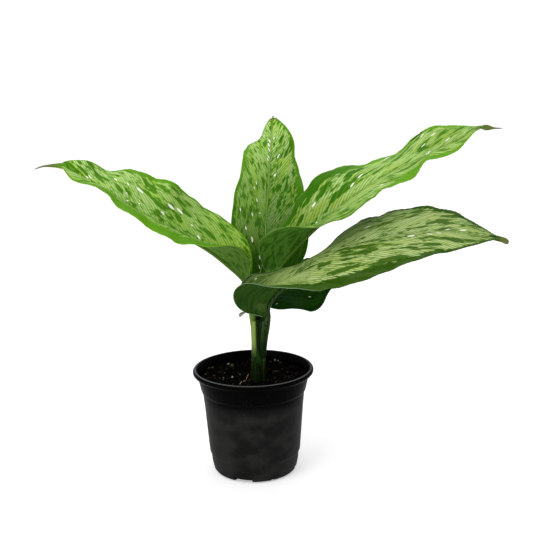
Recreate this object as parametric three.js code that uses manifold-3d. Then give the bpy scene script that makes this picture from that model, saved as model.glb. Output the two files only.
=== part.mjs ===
// Potted dieffenbachia: five patterned leaves on a short green stem, standing in
// dark potting soil in a round black nursery pot.
//
// Millimetres, +Z up. The origin is on the pot's axis, at the level it stands on.
// The front is towards -Y: the two long leaves point to +X and one to -X.

import * as THREE from 'three';
import { mergeVertices } from 'three/addons/utils/BufferGeometryUtils.js';
import Module from 'manifold-3d';

const wasm = await Module();
wasm.setup();

// ---------------------------------------------------------------- driving sizes

const GAP = 0.3; // clearance kept between neighbouring pieces
const POT_SIDES = 40;

// Outer wall of the pot, [radius, height], from the middle of its base to the lip.
const POT_OUTSIDE = [
  [0, 0], [34.5, 0], [36.2, 0.8], [37.6, 2.6], [39.1, 10], [39.8, 17.2], [40.9, 18.6], [41.3, 23],
  [44.3, 61], [45.7, 74], [46.9, 75.6], [48.8, 84], [49.6, 89.4], [52.6, 90.2], [53.9, 91.6],
  [54, 93.4], [53, 94.8], [51.4, 95],
];
// Inner wall, from the lip down to the floor: the wall is about 1.3 mm thick.
const POT_INSIDE = [
  [50.4, 94.2], [48.4, 89.4], [47.4, 84], [45.4, 75.8], [44.4, 74], [43, 61], [40, 23], [38.4, 17],
  [37.6, 10], [36.2, 3.4], [34.8, 2], [0, 2],
];
// Drainage notches in the bottom edge: [from, to] in degrees round from the front
// (towards +X), and how high each one is cut.
const POT_NOTCHES = [
  { from: -31, to: -4, height: 4.2 }, { from: 23, to: 29, height: 1.6 },
  { from: 70, to: 96, height: 4.4 }, { from: -74, to: -61, height: 2.4 },
  { from: 118, to: 142, height: 3.4 }, { from: 168, to: 190, height: 3.4 },
  { from: 214, to: 238, height: 3.4 }, { from: 260, to: 274, height: 2.4 },
];
const NOTCH_INNER_RADIUS = 31;

const SOIL = {
  middle: 82.5, // height of the surface round the stem
  rise: 0.0018, // how much it climbs towards the wall, per mm of radius squared
  lump: 0.9, // height of its lumps
  rings: [47.2, 42.5, 36, 29.5, 23, 16.5, 9],
};
// Grit and bark worked into the surface: how many, and their size range.
const GRIT = { count: 26, smallest: 1.1, largest: 2.3, seed: 11 };
// The few big chips, [x, y, radius], each half sunk in the soil.
const CHIPS = [
  [20, 18, 3.6], [25, 33, 2.6], [34, 24, 2.6], [-24, 34, 2.6], [-20, 27, 2.4], [-37, 22, 2.4],
  [-19, 4, 1.8], [-27, 3, 1.6], [14, 20, 2], [29, 0, 2], [-8, 2, 1.8],
];

// The stem: [x, y, z] of its middle and its radius there, from below the soil up.
const STEM = [
  [3.5, 1, 62, 6.6], [4.4, 0.6, 80, 7.4], [4.7, 0.3, 90, 7.5], [5, 0.2, 104, 6.6],
  [5, 0.6, 118, 6.4], [5, 1.4, 130, 6.8], [5, 2, 138, 6.6],
];
const STEM_SIDES = 18;
const STEM_RIDGE = 0.05; // depth of the folds where one sheath laps the next
const STEM_HOLE_DEPTH = 20.5;

// Each leaf is a blade on a midrib that runs on down as its stalk.
//   stalk: middle of the stalk from inside the stem to the blade, and its radius
//   rib:   the blade's fold from its base to its tip
//   drip:  the thin thread past the tip
//   faces: which way the upper side faces, from base to tip
//   left, right: for each half, seen from base to tip, two lists at equal steps along
//     the rib. reach: how wide it is at full outline. lift: its slope in degrees above
//     the line square to the rib, which waves the margin
const LEAVES = {
  leaf_left: {
    stalk: [[1.4, 1.2, 131], [-1, 2.4, 150]],
    stalkRadius: 2.6,
    rib: [[-4, 4, 172], [-29, -1, 198], [-62, -6, 220], [-98, -11, 242], [-131, -6, 263], [-161, 0, 280]],
    drip: [[-174, 1, 280.5], [-184, 3, 277]],
    faces: [[0, -0.5, 1], [0, -0.5, 1]],
    left: { reach: [36, 40, 38, 38, 40, 38], lift: [75, 85, 50, 30, 25, 35, 45, 25, 35] },
    right: { reach: [38, 38, 38, 40, 42, 44], lift: [70, 50, 30, 20, 20, 35, 20, 20, -5, 15, 40] },
  },
  leaf_centre: {
    stalk: [[5.2, 5.2, 131], [5.4, 11, 150]],
    stalkRadius: 2.6,
    rib: [[6, 20, 170], [12, 31, 191], [14, 45, 218], [17, 63, 250], [20, 86, 282], [23, 112, 309]],
    drip: [[23.6, 113.2, 310]],
    faces: [[0, -1, 0.8], [0, -1, 0.8]],
    left: { reach: [38, 37, 36, 36, 38], lift: [15, 20, 25, 30, 35, 35, 40, 30, 0, -40, -25] },
    right: { reach: [38, 43, 39, 38, 44, 40], lift: [15, 5, 0, 0, 0, -5, -15, -25, -30, 20, 15] },
  },
  leaf_upper_right: {
    stalk: [[8.8, 1.6, 131], [12.5, 5.4, 150]],
    stalkRadius: 2.6,
    rib: [[18, 13, 174], [42, 5, 205], [78, 7, 236], [116, 12, 261], [158, 7, 282], [199, -8, 306]],
    drip: [[207, -9, 304], [215, -9, 303]],
    faces: [[0, -0.5, 1], [0, -0.5, 1]],
    left: { reach: [38, 35, 36, 40, 38, 42, 48, 40], lift: [75, 45, 5, 10, 15, 5, -10, -10, 15, 15, -20] },
    right: { reach: [40, 46, 42, 40, 40, 44, 43, 38], lift: [80, 95, 80, 45, 30, 30, 25, 15, 25, 0, 30] },
  },
  leaf_lower_right: {
    stalk: [[8.4, -2.6, 106], [10.6, -7.6, 124], [12.6, -13.6, 137]],
    stalkRadius: 3.3,
    rib: [[13, -19, 146], [19, -23, 166], [59, -25, 199], [114, -35, 217], [163, -47, 223], [206, -51, 217]],
    drip: [[211, -52, 215], [216, -53, 211]],
    faces: [[-1, -0.1, 0.5], [-0.4, -0.4, 1], [-0.1, -0.5, 1], [0, -0.5, 1]],
    left: { reach: [36, 40, 35, 36, 40, 40, 41, 41, 40], lift: [75, 70, 0, -30, -10, 0, 10, 5, -10] },
    right: { reach: [40, 45, 46, 40, 40, 40, 40, 40, 40], lift: [75, 90, 40, -5, -15, -10, -5, 0, 30] },
  },
  leaf_back: {
    stalk: [[7.6, 4.4, 114], [10, 8.6, 134]],
    stalkRadius: 2.4,
    rib: [[12.5, 12.5, 149], [32, 24, 160], [56, 35, 169], [81, 46, 177], [103, 58, 181]],
    drip: [[106, 60, 180]],
    faces: [[0, -0.35, 1], [0, -0.35, 1]],
    left: { reach: [32, 32], lift: [10, 10, 0, -10, 0] },
    right: { reach: [32, 32], lift: [-15, -5, -20, -25, 5, 0, -10, -20, -20] },
  },
};

const BLADE = {
  thickness: 1,
  bulge: 0.06, // how far each half swells upwards, as a share of its reach
  alongSteps: 26,
  acrossSteps: 4,
  start: 0.004, // the blade's own ends along the rib
  end: 0.99,
};
const RIB = {
  baseRadius: 2, // radius of the midrib where the blade begins
  tipRadius: 0.7,
  threadRadius: 0.45,
  sink: 0.85, // how far it hangs below the blade, as a share of its radius
  knots: 9,
  sides: 7,
  stepsPerKnot: 2,
};

// ---------------------------------------------------------------- small helpers

const degrees = (value) => THREE.MathUtils.degToRad(value);

/** Smooth value at u (0 to 1) through evenly spaced numbers (Catmull-Rom). */
function smooth(values, u) {
  const last = values.length - 1;
  const at = THREE.MathUtils.clamp(u, 0, 1) * last;
  const i = Math.min(Math.floor(at), last - 1);
  const t = at - i;
  const before = i > 0 ? values[i - 1] : 2 * values[0] - values[1];
  const after = i + 2 <= last ? values[i + 2] : 2 * values[last] - values[last - 1];
  const a = values[i];
  const b = values[i + 1];
  return 0.5 * (2 * a + (b - before) * t + (2 * before - 5 * a + 4 * b - after) * t * t
    + (3 * a - before - 3 * b + after) * t * t * t);
}

/** The same through evenly spaced [x, y, z] points. */
function smoothPoint(points, u) {
  return new THREE.Vector3(
    smooth(points.map((p) => p[0]), u),
    smooth(points.map((p) => p[1]), u),
    smooth(points.map((p) => p[2]), u),
  );
}

/** Repeatable random numbers from 0 to 1. */
function seededRandom(seed) {
  let state = seed;
  return () => {
    state = (state * 1664525 + 1013904223) % 4294967296;
    return state / 4294967296;
  };
}

/** Turn a closed three.js geometry into a solid for joining and cutting. */
function toSolid(geometry) {
  const bare = geometry.clone();
  for (const name of Object.keys(bare.attributes)) {
    if (name !== 'position') bare.deleteAttribute(name);
  }
  const merged = mergeVertices(bare, 1e-4);
  return new wasm.Manifold(new wasm.Mesh({
    numProp: 3,
    vertProperties: new Float32Array(merged.attributes.position.array),
    triVerts: new Uint32Array(merged.index.array),
  }));
}

/** The outer skin of the biggest body: loose slivers go, and small pockets are filled. */
function largestPiece(solid) {
  return solid.decompose().sort((a, b) => b.volume() - a.volume())[0];
}

/** Turn a solid back into a three.js geometry, without the tiniest edges that joining leaves. */
function toGeometry(solid) {
  // Closing up the tiniest edges can seal a sliver of a pocket, so the skin is taken last.
  const mesh = largestPiece(new wasm.Manifold(solid.simplify(0.02).getMesh())).getMesh();
  const geometry = new THREE.BufferGeometry();
  geometry.setAttribute('position', new THREE.BufferAttribute(mesh.vertProperties, 3));
  geometry.setIndex(new THREE.BufferAttribute(mesh.triVerts, 1));
  geometry.computeVertexNormals();
  return geometry;
}

/** A geometry from a list of points and a list of triangles. */
function geometryFrom(points, triangles) {
  const geometry = new THREE.BufferGeometry();
  geometry.setAttribute('position', new THREE.Float32BufferAttribute(points.flatMap((p) => p.toArray()), 3));
  geometry.setIndex(triangles.flat());
  return geometry;
}

/**
 * A closed skin over a stack of rings of equal count, each an array of points
 * running anticlockwise about the direction of the stack.
 */
function skinOver(rings) {
  const count = rings[0].length;
  const points = rings.flat();
  const triangles = [];
  for (let i = 0; i + 1 < rings.length; i += 1) {
    for (let j = 0; j < count; j += 1) {
      const a = i * count + j;
      const b = i * count + ((j + 1) % count);
      triangles.push([a, b, b + count], [a, b + count, a + count]);
    }
  }
  for (const [ring, first] of [[0, true], [rings.length - 1, false]]) {
    const middle = points.length;
    const centre = new THREE.Vector3();
    rings[ring].forEach((p) => centre.addScaledVector(p, 1 / count));
    points.push(centre);
    for (let j = 0; j < count; j += 1) {
      const a = ring * count + j;
      const b = ring * count + ((j + 1) % count);
      triangles.push(first ? [middle, b, a] : [middle, a, b]);
    }
  }
  return geometryFrom(points, triangles);
}

// ---------------------------------------------------------------- pot and soil

/** A flat ring sector from the notch radius outwards, standing up from below z = 0. */
function notchCutter({ from, to, height }) {
  const shape = new THREE.Shape();
  const outer = 60;
  const below = 2;
  const a = degrees(from - 90);
  const b = degrees(to - 90);
  shape.moveTo(NOTCH_INNER_RADIUS * Math.cos(a), NOTCH_INNER_RADIUS * Math.sin(a));
  shape.lineTo(outer * Math.cos(a), outer * Math.sin(a));
  shape.lineTo(outer * Math.cos(b), outer * Math.sin(b));
  shape.lineTo(NOTCH_INNER_RADIUS * Math.cos(b), NOTCH_INNER_RADIUS * Math.sin(b));
  const block = new THREE.ExtrudeGeometry(shape, { depth: height + below, bevelEnabled: false });
  block.translate(0, 0, -below);
  return toSolid(block);
}

/** Turned shell of the pot: rounded lip, collar, tapering wall, notched base. */
function makePot() {
  const profile = [...POT_OUTSIDE, ...POT_INSIDE].map(([r, z]) => new THREE.Vector2(r, z));
  const shell = new THREE.LatheGeometry(profile, POT_SIDES);
  shell.rotateX(Math.PI / 2);
  let pot = toSolid(shell);
  for (const notch of POT_NOTCHES) pot = pot.subtract(notchCutter(notch));
  return toGeometry(pot);
}

/** Height of the soil: it climbs towards the wall, with shallow lumps. */
function soilHeight(x, y) {
  const lumps = Math.sin(x * 0.31 + 1.3) * Math.cos(y * 0.27 - 0.4) + 0.5 * Math.sin(x * 0.17 - y * 0.23);
  return SOIL.middle + SOIL.rise * (x * x + y * y) + SOIL.lump * lumps * 0.6;
}

/** One chip of grit or bark: a squashed, turned, twenty-sided lump, half sunk. */
function makeChip(x, y, radius, random) {
  const chip = new THREE.IcosahedronGeometry(radius, 0);
  chip.scale(1, 0.6 + 0.4 * random(), 0.55 + 0.3 * random());
  chip.rotateX(random() - 0.5);
  chip.rotateZ(random() * Math.PI);
  chip.translate(x, y, soilHeight(x, y) + 0.1 * radius);
  return toSolid(chip);
}

/** Potting soil that fills the pot, with chips in its surface and a hole for the stem. */
function makeSoil() {
  const ring = (radius, height) => Array.from({ length: POT_SIDES }, (_, j) => {
    const angle = (2 * Math.PI * j) / POT_SIDES;
    const x = radius * Math.cos(angle);
    const y = radius * Math.sin(angle);
    return new THREE.Vector3(x, y, height ?? soilHeight(x, y));
  });
  // The filling follows the inner wall with a clearance, from the floor up.
  const wall = POT_INSIDE.slice(3, -1).reverse();
  const inset = GAP + 0.25;
  const sides = wall.map(([r, z], i) => ring(r - inset, i === 0 ? z + GAP : z));
  const rings = [...sides, ring(46.2 - inset, 80), ...SOIL.rings.map((r) => ring(r))];
  let soil = toSolid(skinOver(rings));
  const random = seededRandom(GRIT.seed);
  for (const [x, y, radius] of CHIPS) soil = soil.add(makeChip(x, y, radius, random));
  for (let i = 0; i < GRIT.count; i += 1) {
    const angle = 2 * Math.PI * random();
    const out = 13 + 30 * Math.sqrt(random());
    const radius = GRIT.smallest + (GRIT.largest - GRIT.smallest) * random();
    soil = soil.add(makeChip(out * Math.cos(angle), out * Math.sin(angle), radius, random));
  }
  const [x, y, z] = STEM[0];
  const hole = toSolid(skinOver(stemRings(GAP)));
  const under = new THREE.CylinderGeometry(STEM[0][3], STEM[0][3], STEM_HOLE_DEPTH, STEM_SIDES);
  under.rotateX(Math.PI / 2);
  under.translate(x, y, z - GAP + STEM_HOLE_DEPTH / 2);
  return toGeometry(soil.subtract(hole).subtract(toSolid(under)));
}

// ---------------------------------------------------------------- stem

/** Rings of the stem: round, with shallow folds that turn slowly as they climb. */
function stemRings(extra) {
  return STEM.map(([x, y, z, radius]) => Array.from({ length: STEM_SIDES }, (_, j) => {
    const angle = (2 * Math.PI * j) / STEM_SIDES;
    const fold = 1 - STEM_RIDGE * (1 + Math.cos(3 * angle + 0.6 + z * 0.01));
    const out = radius * fold + extra;
    return new THREE.Vector3(x + out * Math.cos(angle), y + out * Math.sin(angle), z);
  }));
}

/** The stem, with a groove or socket for the foot of each leaf's stalk. */
function makeStem() {
  let stem = toSolid(skinOver(stemRings(0)));
  for (const leaf of Object.values(LEAVES)) stem = stem.subtract(toSolid(makeRib(leaf, GAP)));
  return toGeometry(stem);
}

// ---------------------------------------------------------------- leaves

/** Outline of a blade along its rib: a broad oval with a pointed tip, 0 to 1. */
const outline = (u) => Math.sin(Math.PI * THREE.MathUtils.clamp(u, 0, 1) ** 0.8) ** 0.7;

/** Point on the rib with the rib's direction, the right-hand side and the upper side. */
function ribFrame(leaf, u) {
  const step = 1e-3;
  const point = smoothPoint(leaf.rib, u);
  const ahead = smoothPoint(leaf.rib, Math.min(u + step, 1));
  const along = ahead.sub(smoothPoint(leaf.rib, Math.max(u - step, 0)));
  along.normalize();
  const side = along.clone().cross(smoothPoint(leaf.faces, u)).normalize();
  const up = side.clone().cross(along);
  return { point, along, side, up };
}

/** Point of the blade: u along the rib, v from the rib (0) to the edge (1) of one half. */
function bladePoint(leaf, half, u, v) {
  const { point, side, up } = ribFrame(leaf, u);
  const sign = half === 'right' ? 1 : -1;
  const reach = smooth(leaf[half].reach, u) * outline(u);
  const lift = degrees(smooth(leaf[half].lift, u));
  const across = side.clone().multiplyScalar(sign * Math.cos(lift)).addScaledVector(up, Math.sin(lift));
  const over = up.clone().multiplyScalar(Math.cos(lift)).addScaledVector(side, -sign * Math.sin(lift));
  return point.addScaledVector(across, reach * v)
    .addScaledVector(over, reach * BLADE.bulge * 4 * v * (1 - v));
}

/** One half of a blade as a thin closed sheet, both faces split the same way. */
function makeHalf(leaf, half) {
  const { alongSteps, acrossSteps, thickness, start, end } = BLADE;
  const step = 1e-3;
  const upper = [];
  const lower = [];
  for (let i = 0; i <= alongSteps; i += 1) {
    const s = i / alongSteps;
    // Stations crowd a little towards both ends, where the outline turns fastest.
    const u = start + (end - start) * (0.5 * s + 0.25 * (1 - Math.cos(Math.PI * s)));
    for (let j = 0; j <= acrossSteps; j += 1) {
      const v = j / acrossSteps;
      const here = bladePoint(leaf, half, u, v);
      const across = bladePoint(leaf, half, u, v + step).sub(bladePoint(leaf, half, u, v - step));
      const along = bladePoint(leaf, half, u + step, v).sub(bladePoint(leaf, half, u - step, v));
      const normal = across.cross(along).normalize().multiplyScalar(thickness / 2);
      if (half === 'left') normal.negate();
      upper.push(here.clone().add(normal));
      lower.push(here.clone().sub(normal));
    }
  }
  const columns = acrossSteps + 1;
  const below = upper.length;
  const triangles = [];
  for (let i = 0; i < alongSteps; i += 1) {
    for (let j = 0; j < acrossSteps; j += 1) {
      const a = i * columns + j;
      const b = a + 1;
      const c = a + columns;
      const d = c + 1;
      triangles.push([a, b, d], [a, d, c]);
      triangles.push([a + below, d + below, b + below], [a + below, c + below, d + below]);
    }
  }
  const border = [];
  for (let j = 0; j < acrossSteps; j += 1) border.push(j);
  for (let i = 0; i < alongSteps; i += 1) border.push(i * columns + acrossSteps);
  for (let j = acrossSteps; j > 0; j -= 1) border.push(alongSteps * columns + j);
  for (let i = alongSteps; i > 0; i -= 1) border.push(i * columns);
  border.forEach((a, k) => {
    const b = border[(k + 1) % border.length];
    triangles.push([a, a + below, b + below], [a, b + below, b]);
  });
  // The left half's grid is the mirror of the right's, so its faces turn over.
  const faces = half === 'left' ? triangles.map(([a, b, c]) => [a, c, b]) : triangles;
  return toSolid(geometryFrom([...upper, ...lower], faces));
}

/** Stalk, midrib and drip tip as one tapering round rod; extra makes it fatter. */
function makeRib(leaf, extra = 0) {
  const knots = leaf.stalk.map((p) => ({ at: new THREE.Vector3(...p), radius: leaf.stalkRadius }));
  for (let k = 0; k < RIB.knots; k += 1) {
    const u = k / (RIB.knots - 1);
    const { point, up } = ribFrame(leaf, u);
    const radius = THREE.MathUtils.lerp(RIB.baseRadius, RIB.tipRadius, u ** 0.7);
    knots.push({ at: point.addScaledVector(up, -RIB.sink * radius), radius });
  }
  for (const p of leaf.drip) knots.push({ at: new THREE.Vector3(...p), radius: RIB.threadRadius });
  const path = new THREE.CatmullRomCurve3(knots.map((k) => k.at));
  const steps = (knots.length - 1) * RIB.stepsPerKnot;
  const radii = knots.map((k) => k.radius);
  const rings = [];
  for (let i = 0; i <= steps; i += 1) {
    const t = i / steps;
    const centre = path.getPoint(t);
    const along = path.getTangent(t);
    // A fixed reference that no rod runs along keeps the rings from twisting.
    const side = new THREE.Vector3(0.25, -1, 0.2).cross(along).normalize();
    const up = along.clone().cross(side);
    const radius = Math.max(smooth(radii, t), RIB.threadRadius) + extra;
    rings.push(Array.from({ length: RIB.sides }, (_, j) => {
      const angle = (2 * Math.PI * j) / RIB.sides;
      return centre.clone().addScaledVector(side, radius * Math.cos(angle))
        .addScaledVector(up, radius * Math.sin(angle));
    }));
  }
  return skinOver(rings);
}

/** A whole leaf: two half blades fused to the rod that carries them. */
function makeLeaf(leaf) {
  const rod = toSolid(makeRib(leaf));
  return toGeometry(rod.add(makeHalf(leaf, 'left')).add(makeHalf(leaf, 'right')));
}

// ---------------------------------------------------------------- the plant

const FINISHES = {
  plastic: new THREE.MeshStandardMaterial({ color: 0x1b1c1b, roughness: 0.55, metalness: 0 }),
  soil: new THREE.MeshStandardMaterial({ color: 0x17130f, roughness: 0.95, metalness: 0 }),
  stem: new THREE.MeshStandardMaterial({ color: 0x3f6a22, roughness: 0.5, metalness: 0 }),
  leaf: new THREE.MeshStandardMaterial({ color: 0x6fa545, roughness: 0.45, metalness: 0 }),
};

function addPiece(group, name, geometry, material) {
  const mesh = new THREE.Mesh(geometry, material);
  mesh.name = name;
  group.add(mesh);
}

const plant = new THREE.Group();
addPiece(plant, 'pot', makePot(), FINISHES.plastic);
addPiece(plant, 'soil', makeSoil(), FINISHES.soil);
addPiece(plant, 'stem', makeStem(), FINISHES.stem);
for (const [name, leaf] of Object.entries(LEAVES)) {
  addPiece(plant, name, makeLeaf(leaf), FINISHES.leaf);
}

export default plant;
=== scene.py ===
"""Looks of the potted dieffenbachia, built round its packed frame.

Every piece is worked out in the frame's own axes: +Z up, the front towards -Y, the
origin under the middle of the pot. Sizes in the tables below are millimetres and are
turned into metres where a mesh is filled.
"""

import math

import bmesh
import bpy
import numpy as np
from bpy.props import FloatProperty, FloatVectorProperty, IntProperty, PointerProperty
from mathutils import Matrix, Vector


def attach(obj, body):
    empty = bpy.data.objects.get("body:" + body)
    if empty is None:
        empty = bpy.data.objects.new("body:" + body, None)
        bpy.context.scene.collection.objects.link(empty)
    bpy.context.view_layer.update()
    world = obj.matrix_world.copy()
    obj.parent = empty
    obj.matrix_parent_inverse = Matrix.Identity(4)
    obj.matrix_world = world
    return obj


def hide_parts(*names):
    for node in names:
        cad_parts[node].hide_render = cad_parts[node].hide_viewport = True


bl_info = {
    "name": "Potted dieffenbachia",
    "version": (1, 0, 0),
    "blender": (4, 5, 0),
    "location": "View3D > Sidebar > Plant",
    "description": "Patterned leaves, stem, potting soil and nursery pot, with a plain studio",
    "category": "Add Mesh",
}

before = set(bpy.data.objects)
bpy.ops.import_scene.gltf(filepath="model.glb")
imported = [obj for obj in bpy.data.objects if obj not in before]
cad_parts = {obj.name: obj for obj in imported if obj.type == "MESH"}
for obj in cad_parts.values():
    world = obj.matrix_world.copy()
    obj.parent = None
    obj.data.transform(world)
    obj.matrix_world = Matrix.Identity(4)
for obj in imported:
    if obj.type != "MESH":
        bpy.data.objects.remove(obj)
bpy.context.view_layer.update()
BODY = "root"
MM = 0.001


# ------------------------------------------------------------------ sizes, in mm

# Each blade is folded along its rib. rib and faces run from base to tip; reach is
# a half's full width and lift its slope in degrees, at equal steps along the rib.
# drip is the middle of the drip tip past the rib, and tip its half width at equal
# steps from inside the blade to its end. lean is how far a side vein runs tipwards for
# each millimetre outwards, at the blade's base and at its tip.
# Three pairs of lists, left half first, also at equal steps along the rib, guide the
# colours: band is the width of the plain margin, veil the share of painted grey
# sheen and deep the share of painted shade in deep green, where other leaves
# shade the blade.
LEAVES = {
    "left": dict(
        node="leaf_left",
        stalk=[[1.4, 1.2, 131], [-1, 2.4, 150]],
        stalk_radius=2.6,
        rib=[
            [-4, 4, 172], [-29, -1, 198], [-62, -6, 220], [-98, -11, 242], [-131, -6, 263],
            [-161, 0, 280],
        ],
        drip=[[-174, 1, 278.7], [-184, 3, 275.9]],
        tip=[1.2, 2.2, 2.6, 1.6, 0.8, 0.6, 0.3],
        lean=[1.1, 1.8],
        faces=[[0, -0.5, 1], [0, -0.5, 1]],
        left_reach=[36, 40, 38, 38, 40, 38],
        left_lift=[75, 85, 50, 30, 25, 35, 45, 25, 35],
        right_reach=[38, 38, 38, 40, 42, 44],
        right_lift=[70, 50, 30, 20, 20, 35, 20, 20, -5, 15, 40],
        band=[[2, 4, 10, 20, 23, 20, 18, 14, 6, 2, 1], [1, 1, 1, 1, 2, 4, 5, 4, 2, 1, 1]],
        veil=[
            [0, 0.1, 0.2, 0.3, 0.4, 0.5, 0.6, 0.6, 0.5, 0.5, 0.3],
            [0, 0, 0.2, 0.4, 0.5, 0.4, 0.3, 0.3, 0.3, 0.1, 0],
        ],
        deep=[[0.6, 0.3, 0, 0, 0], [0.5, 0.15, 0, 0, 0]],
    ),
    "centre": dict(
        node="leaf_centre",
        stalk=[[5.2, 5.2, 131], [5.4, 11, 150]],
        stalk_radius=2.6,
        rib=[[6, 20, 170], [12, 31, 191], [14, 45, 218], [17, 63, 250], [20, 86, 282], [23, 112, 309]],
        drip=[[23.6, 113.2, 310]],
        tip=[0.8, 0.7, 0.5],
        lean=[1.3, 1.6],
        faces=[[0, -1, 0.8], [0, -1, 0.8]],
        left_reach=[38, 37, 36, 36, 38],
        left_lift=[15, 20, 25, 30, 35, 35, 40, 30, 0, -40, -25],
        right_reach=[38, 43, 39, 38, 44, 40],
        right_lift=[15, 5, 0, 0, 0, -5, -15, -25, -30, 20, 15],
        band=[[2, 2, 3, 4, 3, 3, 3, 4, 3, 2, 1], [4, 4, 4, 4, 4, 7, 9, 6, 4, 3, 2]],
        veil=[
            [0, 0.1, 0.2, 0.4, 0.6, 0.7, 0.7, 0.5, 0.4, 0.2, 0],
            [0, 0, 0, 0, 0, 0.1, 0.2, 0.1, 0, 0, 0],
        ],
        deep=[[1, 0.9, 0.5, 0.15, 0, 0, 0], [1, 0.95, 0.75, 0.6, 0.35, 0, 0]],
    ),
    "upper_right": dict(
        node="leaf_upper_right",
        stalk=[[8.8, 1.6, 131], [12.5, 5.4, 150]],
        stalk_radius=2.6,
        rib=[[18, 13, 174], [42, 5, 205], [78, 7, 236], [116, 12, 261], [158, 7, 282], [199, -8, 306]],
        drip=[[207, -9, 303.6], [215, -9, 303.2]],
        tip=[0.6, 0.6, 0.9, 2.4, 0.9, 0.5, 0.3],
        lean=[0.9, 3.0],
        faces=[[0, -0.5, 1], [0, -0.5, 1]],
        left_reach=[38, 35, 36, 40, 38, 42, 48, 40],
        left_lift=[75, 45, 5, 10, 15, 5, -10, -10, 15, 15, -20],
        right_reach=[40, 46, 42, 40, 40, 44, 43, 38],
        right_lift=[80, 95, 80, 45, 30, 30, 25, 15, 25, 0, 30],
        band=[[2, 3, 6, 10, 12, 12, 9, 5, 4, 3, 2], [2, 2, 2, 2, 2, 2, 3, 12, 10, 3, 1]],
        veil=[
            [0, 0, 0, 0, 0, 0.1, 0.3, 0.4, 0.4, 0.4, 0.4],
            [0.2, 0.4, 0.6, 0.6, 0.6, 0.6, 0.6, 0.5, 0.5, 0.5, 0.4],
        ],
        deep=[[0.6, 0.45, 0.2, 0, 0, 0], [0.7, 0.4, 0, 0, 0]],
    ),
    "lower_right": dict(
        node="leaf_lower_right",
        stalk=[[8.4, -2.6, 106], [10.6, -7.6, 124], [12.6, -13.6, 137]],
        stalk_radius=3.3,
        rib=[
            [13, -19, 146], [19, -23, 166], [59, -25, 199], [114, -35, 217], [163, -47, 223],
            [206, -51, 217],
        ],
        drip=[[209, -51.5, 215.5], [212, -52, 213]],
        tip=[1, 2, 2.3, 2.3, 2.4, 2.2, 1.2],
        lean=[1.5, 2.8],
        faces=[[-1, -0.1, 0.5], [-0.4, -0.4, 1], [-0.1, -0.5, 1], [0, -0.5, 1]],
        left_reach=[36, 40, 35, 36, 40, 40, 41, 41, 40],
        left_lift=[75, 70, 0, -30, -10, 0, 10, 5, -10],
        right_reach=[40, 45, 46, 40, 40, 40, 40, 40, 40],
        right_lift=[75, 90, 40, -5, -15, -10, -5, 0, 30],
        band=[[1, 2, 2, 2, 2, 2, 2, 4, 6, 5, 2], [2, 2, 3, 7, 10, 10, 8, 5, 3, 2, 2]],
        veil=[
            [0.2, 0.3, 0.4, 0.3, 0.3, 0.4, 0.5, 0.5, 0.4, 0.3, 0.3],
            [0.1, 0.2, 0.3, 0.2, 0.1, 0.1, 0.1, 0.2, 0.2, 0.2, 0.2],
        ],
        deep=[[1, 0.9, 0, 0, 0, 0, 0, 0], [1, 1, 0, 0, 0, 0, 0, 0]],
    ),
    "back": dict(
        node="leaf_back",
        stalk=[[7.6, 4.4, 114], [10, 8.6, 134]],
        stalk_radius=2.4,
        rib=[[12.5, 12.5, 149], [32, 24, 160], [56, 35, 169], [81, 46, 177], [103, 58, 181]],
        drip=[[106, 60, 180]],
        tip=[0.8, 0.7, 0.5],
        lean=[1.2, 1.5],
        faces=[[0, -0.35, 1], [0, -0.35, 1]],
        left_reach=[32, 32],
        left_lift=[10, 10, 0, -10, 0],
        right_reach=[32, 32],
        right_lift=[-15, -5, -20, -25, 5, 0, -10, -20, -20],
        band=[[2, 3, 4, 4, 3, 2], [2, 3, 4, 4, 3, 2]],
        veil=[[0, 0, 0], [0, 0, 0]],
        deep=[[0.9, 0.75, 0.6, 0.4, 0.3], [0.9, 0.85, 0.8, 0.6, 0.4]],
    ),
}
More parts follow.
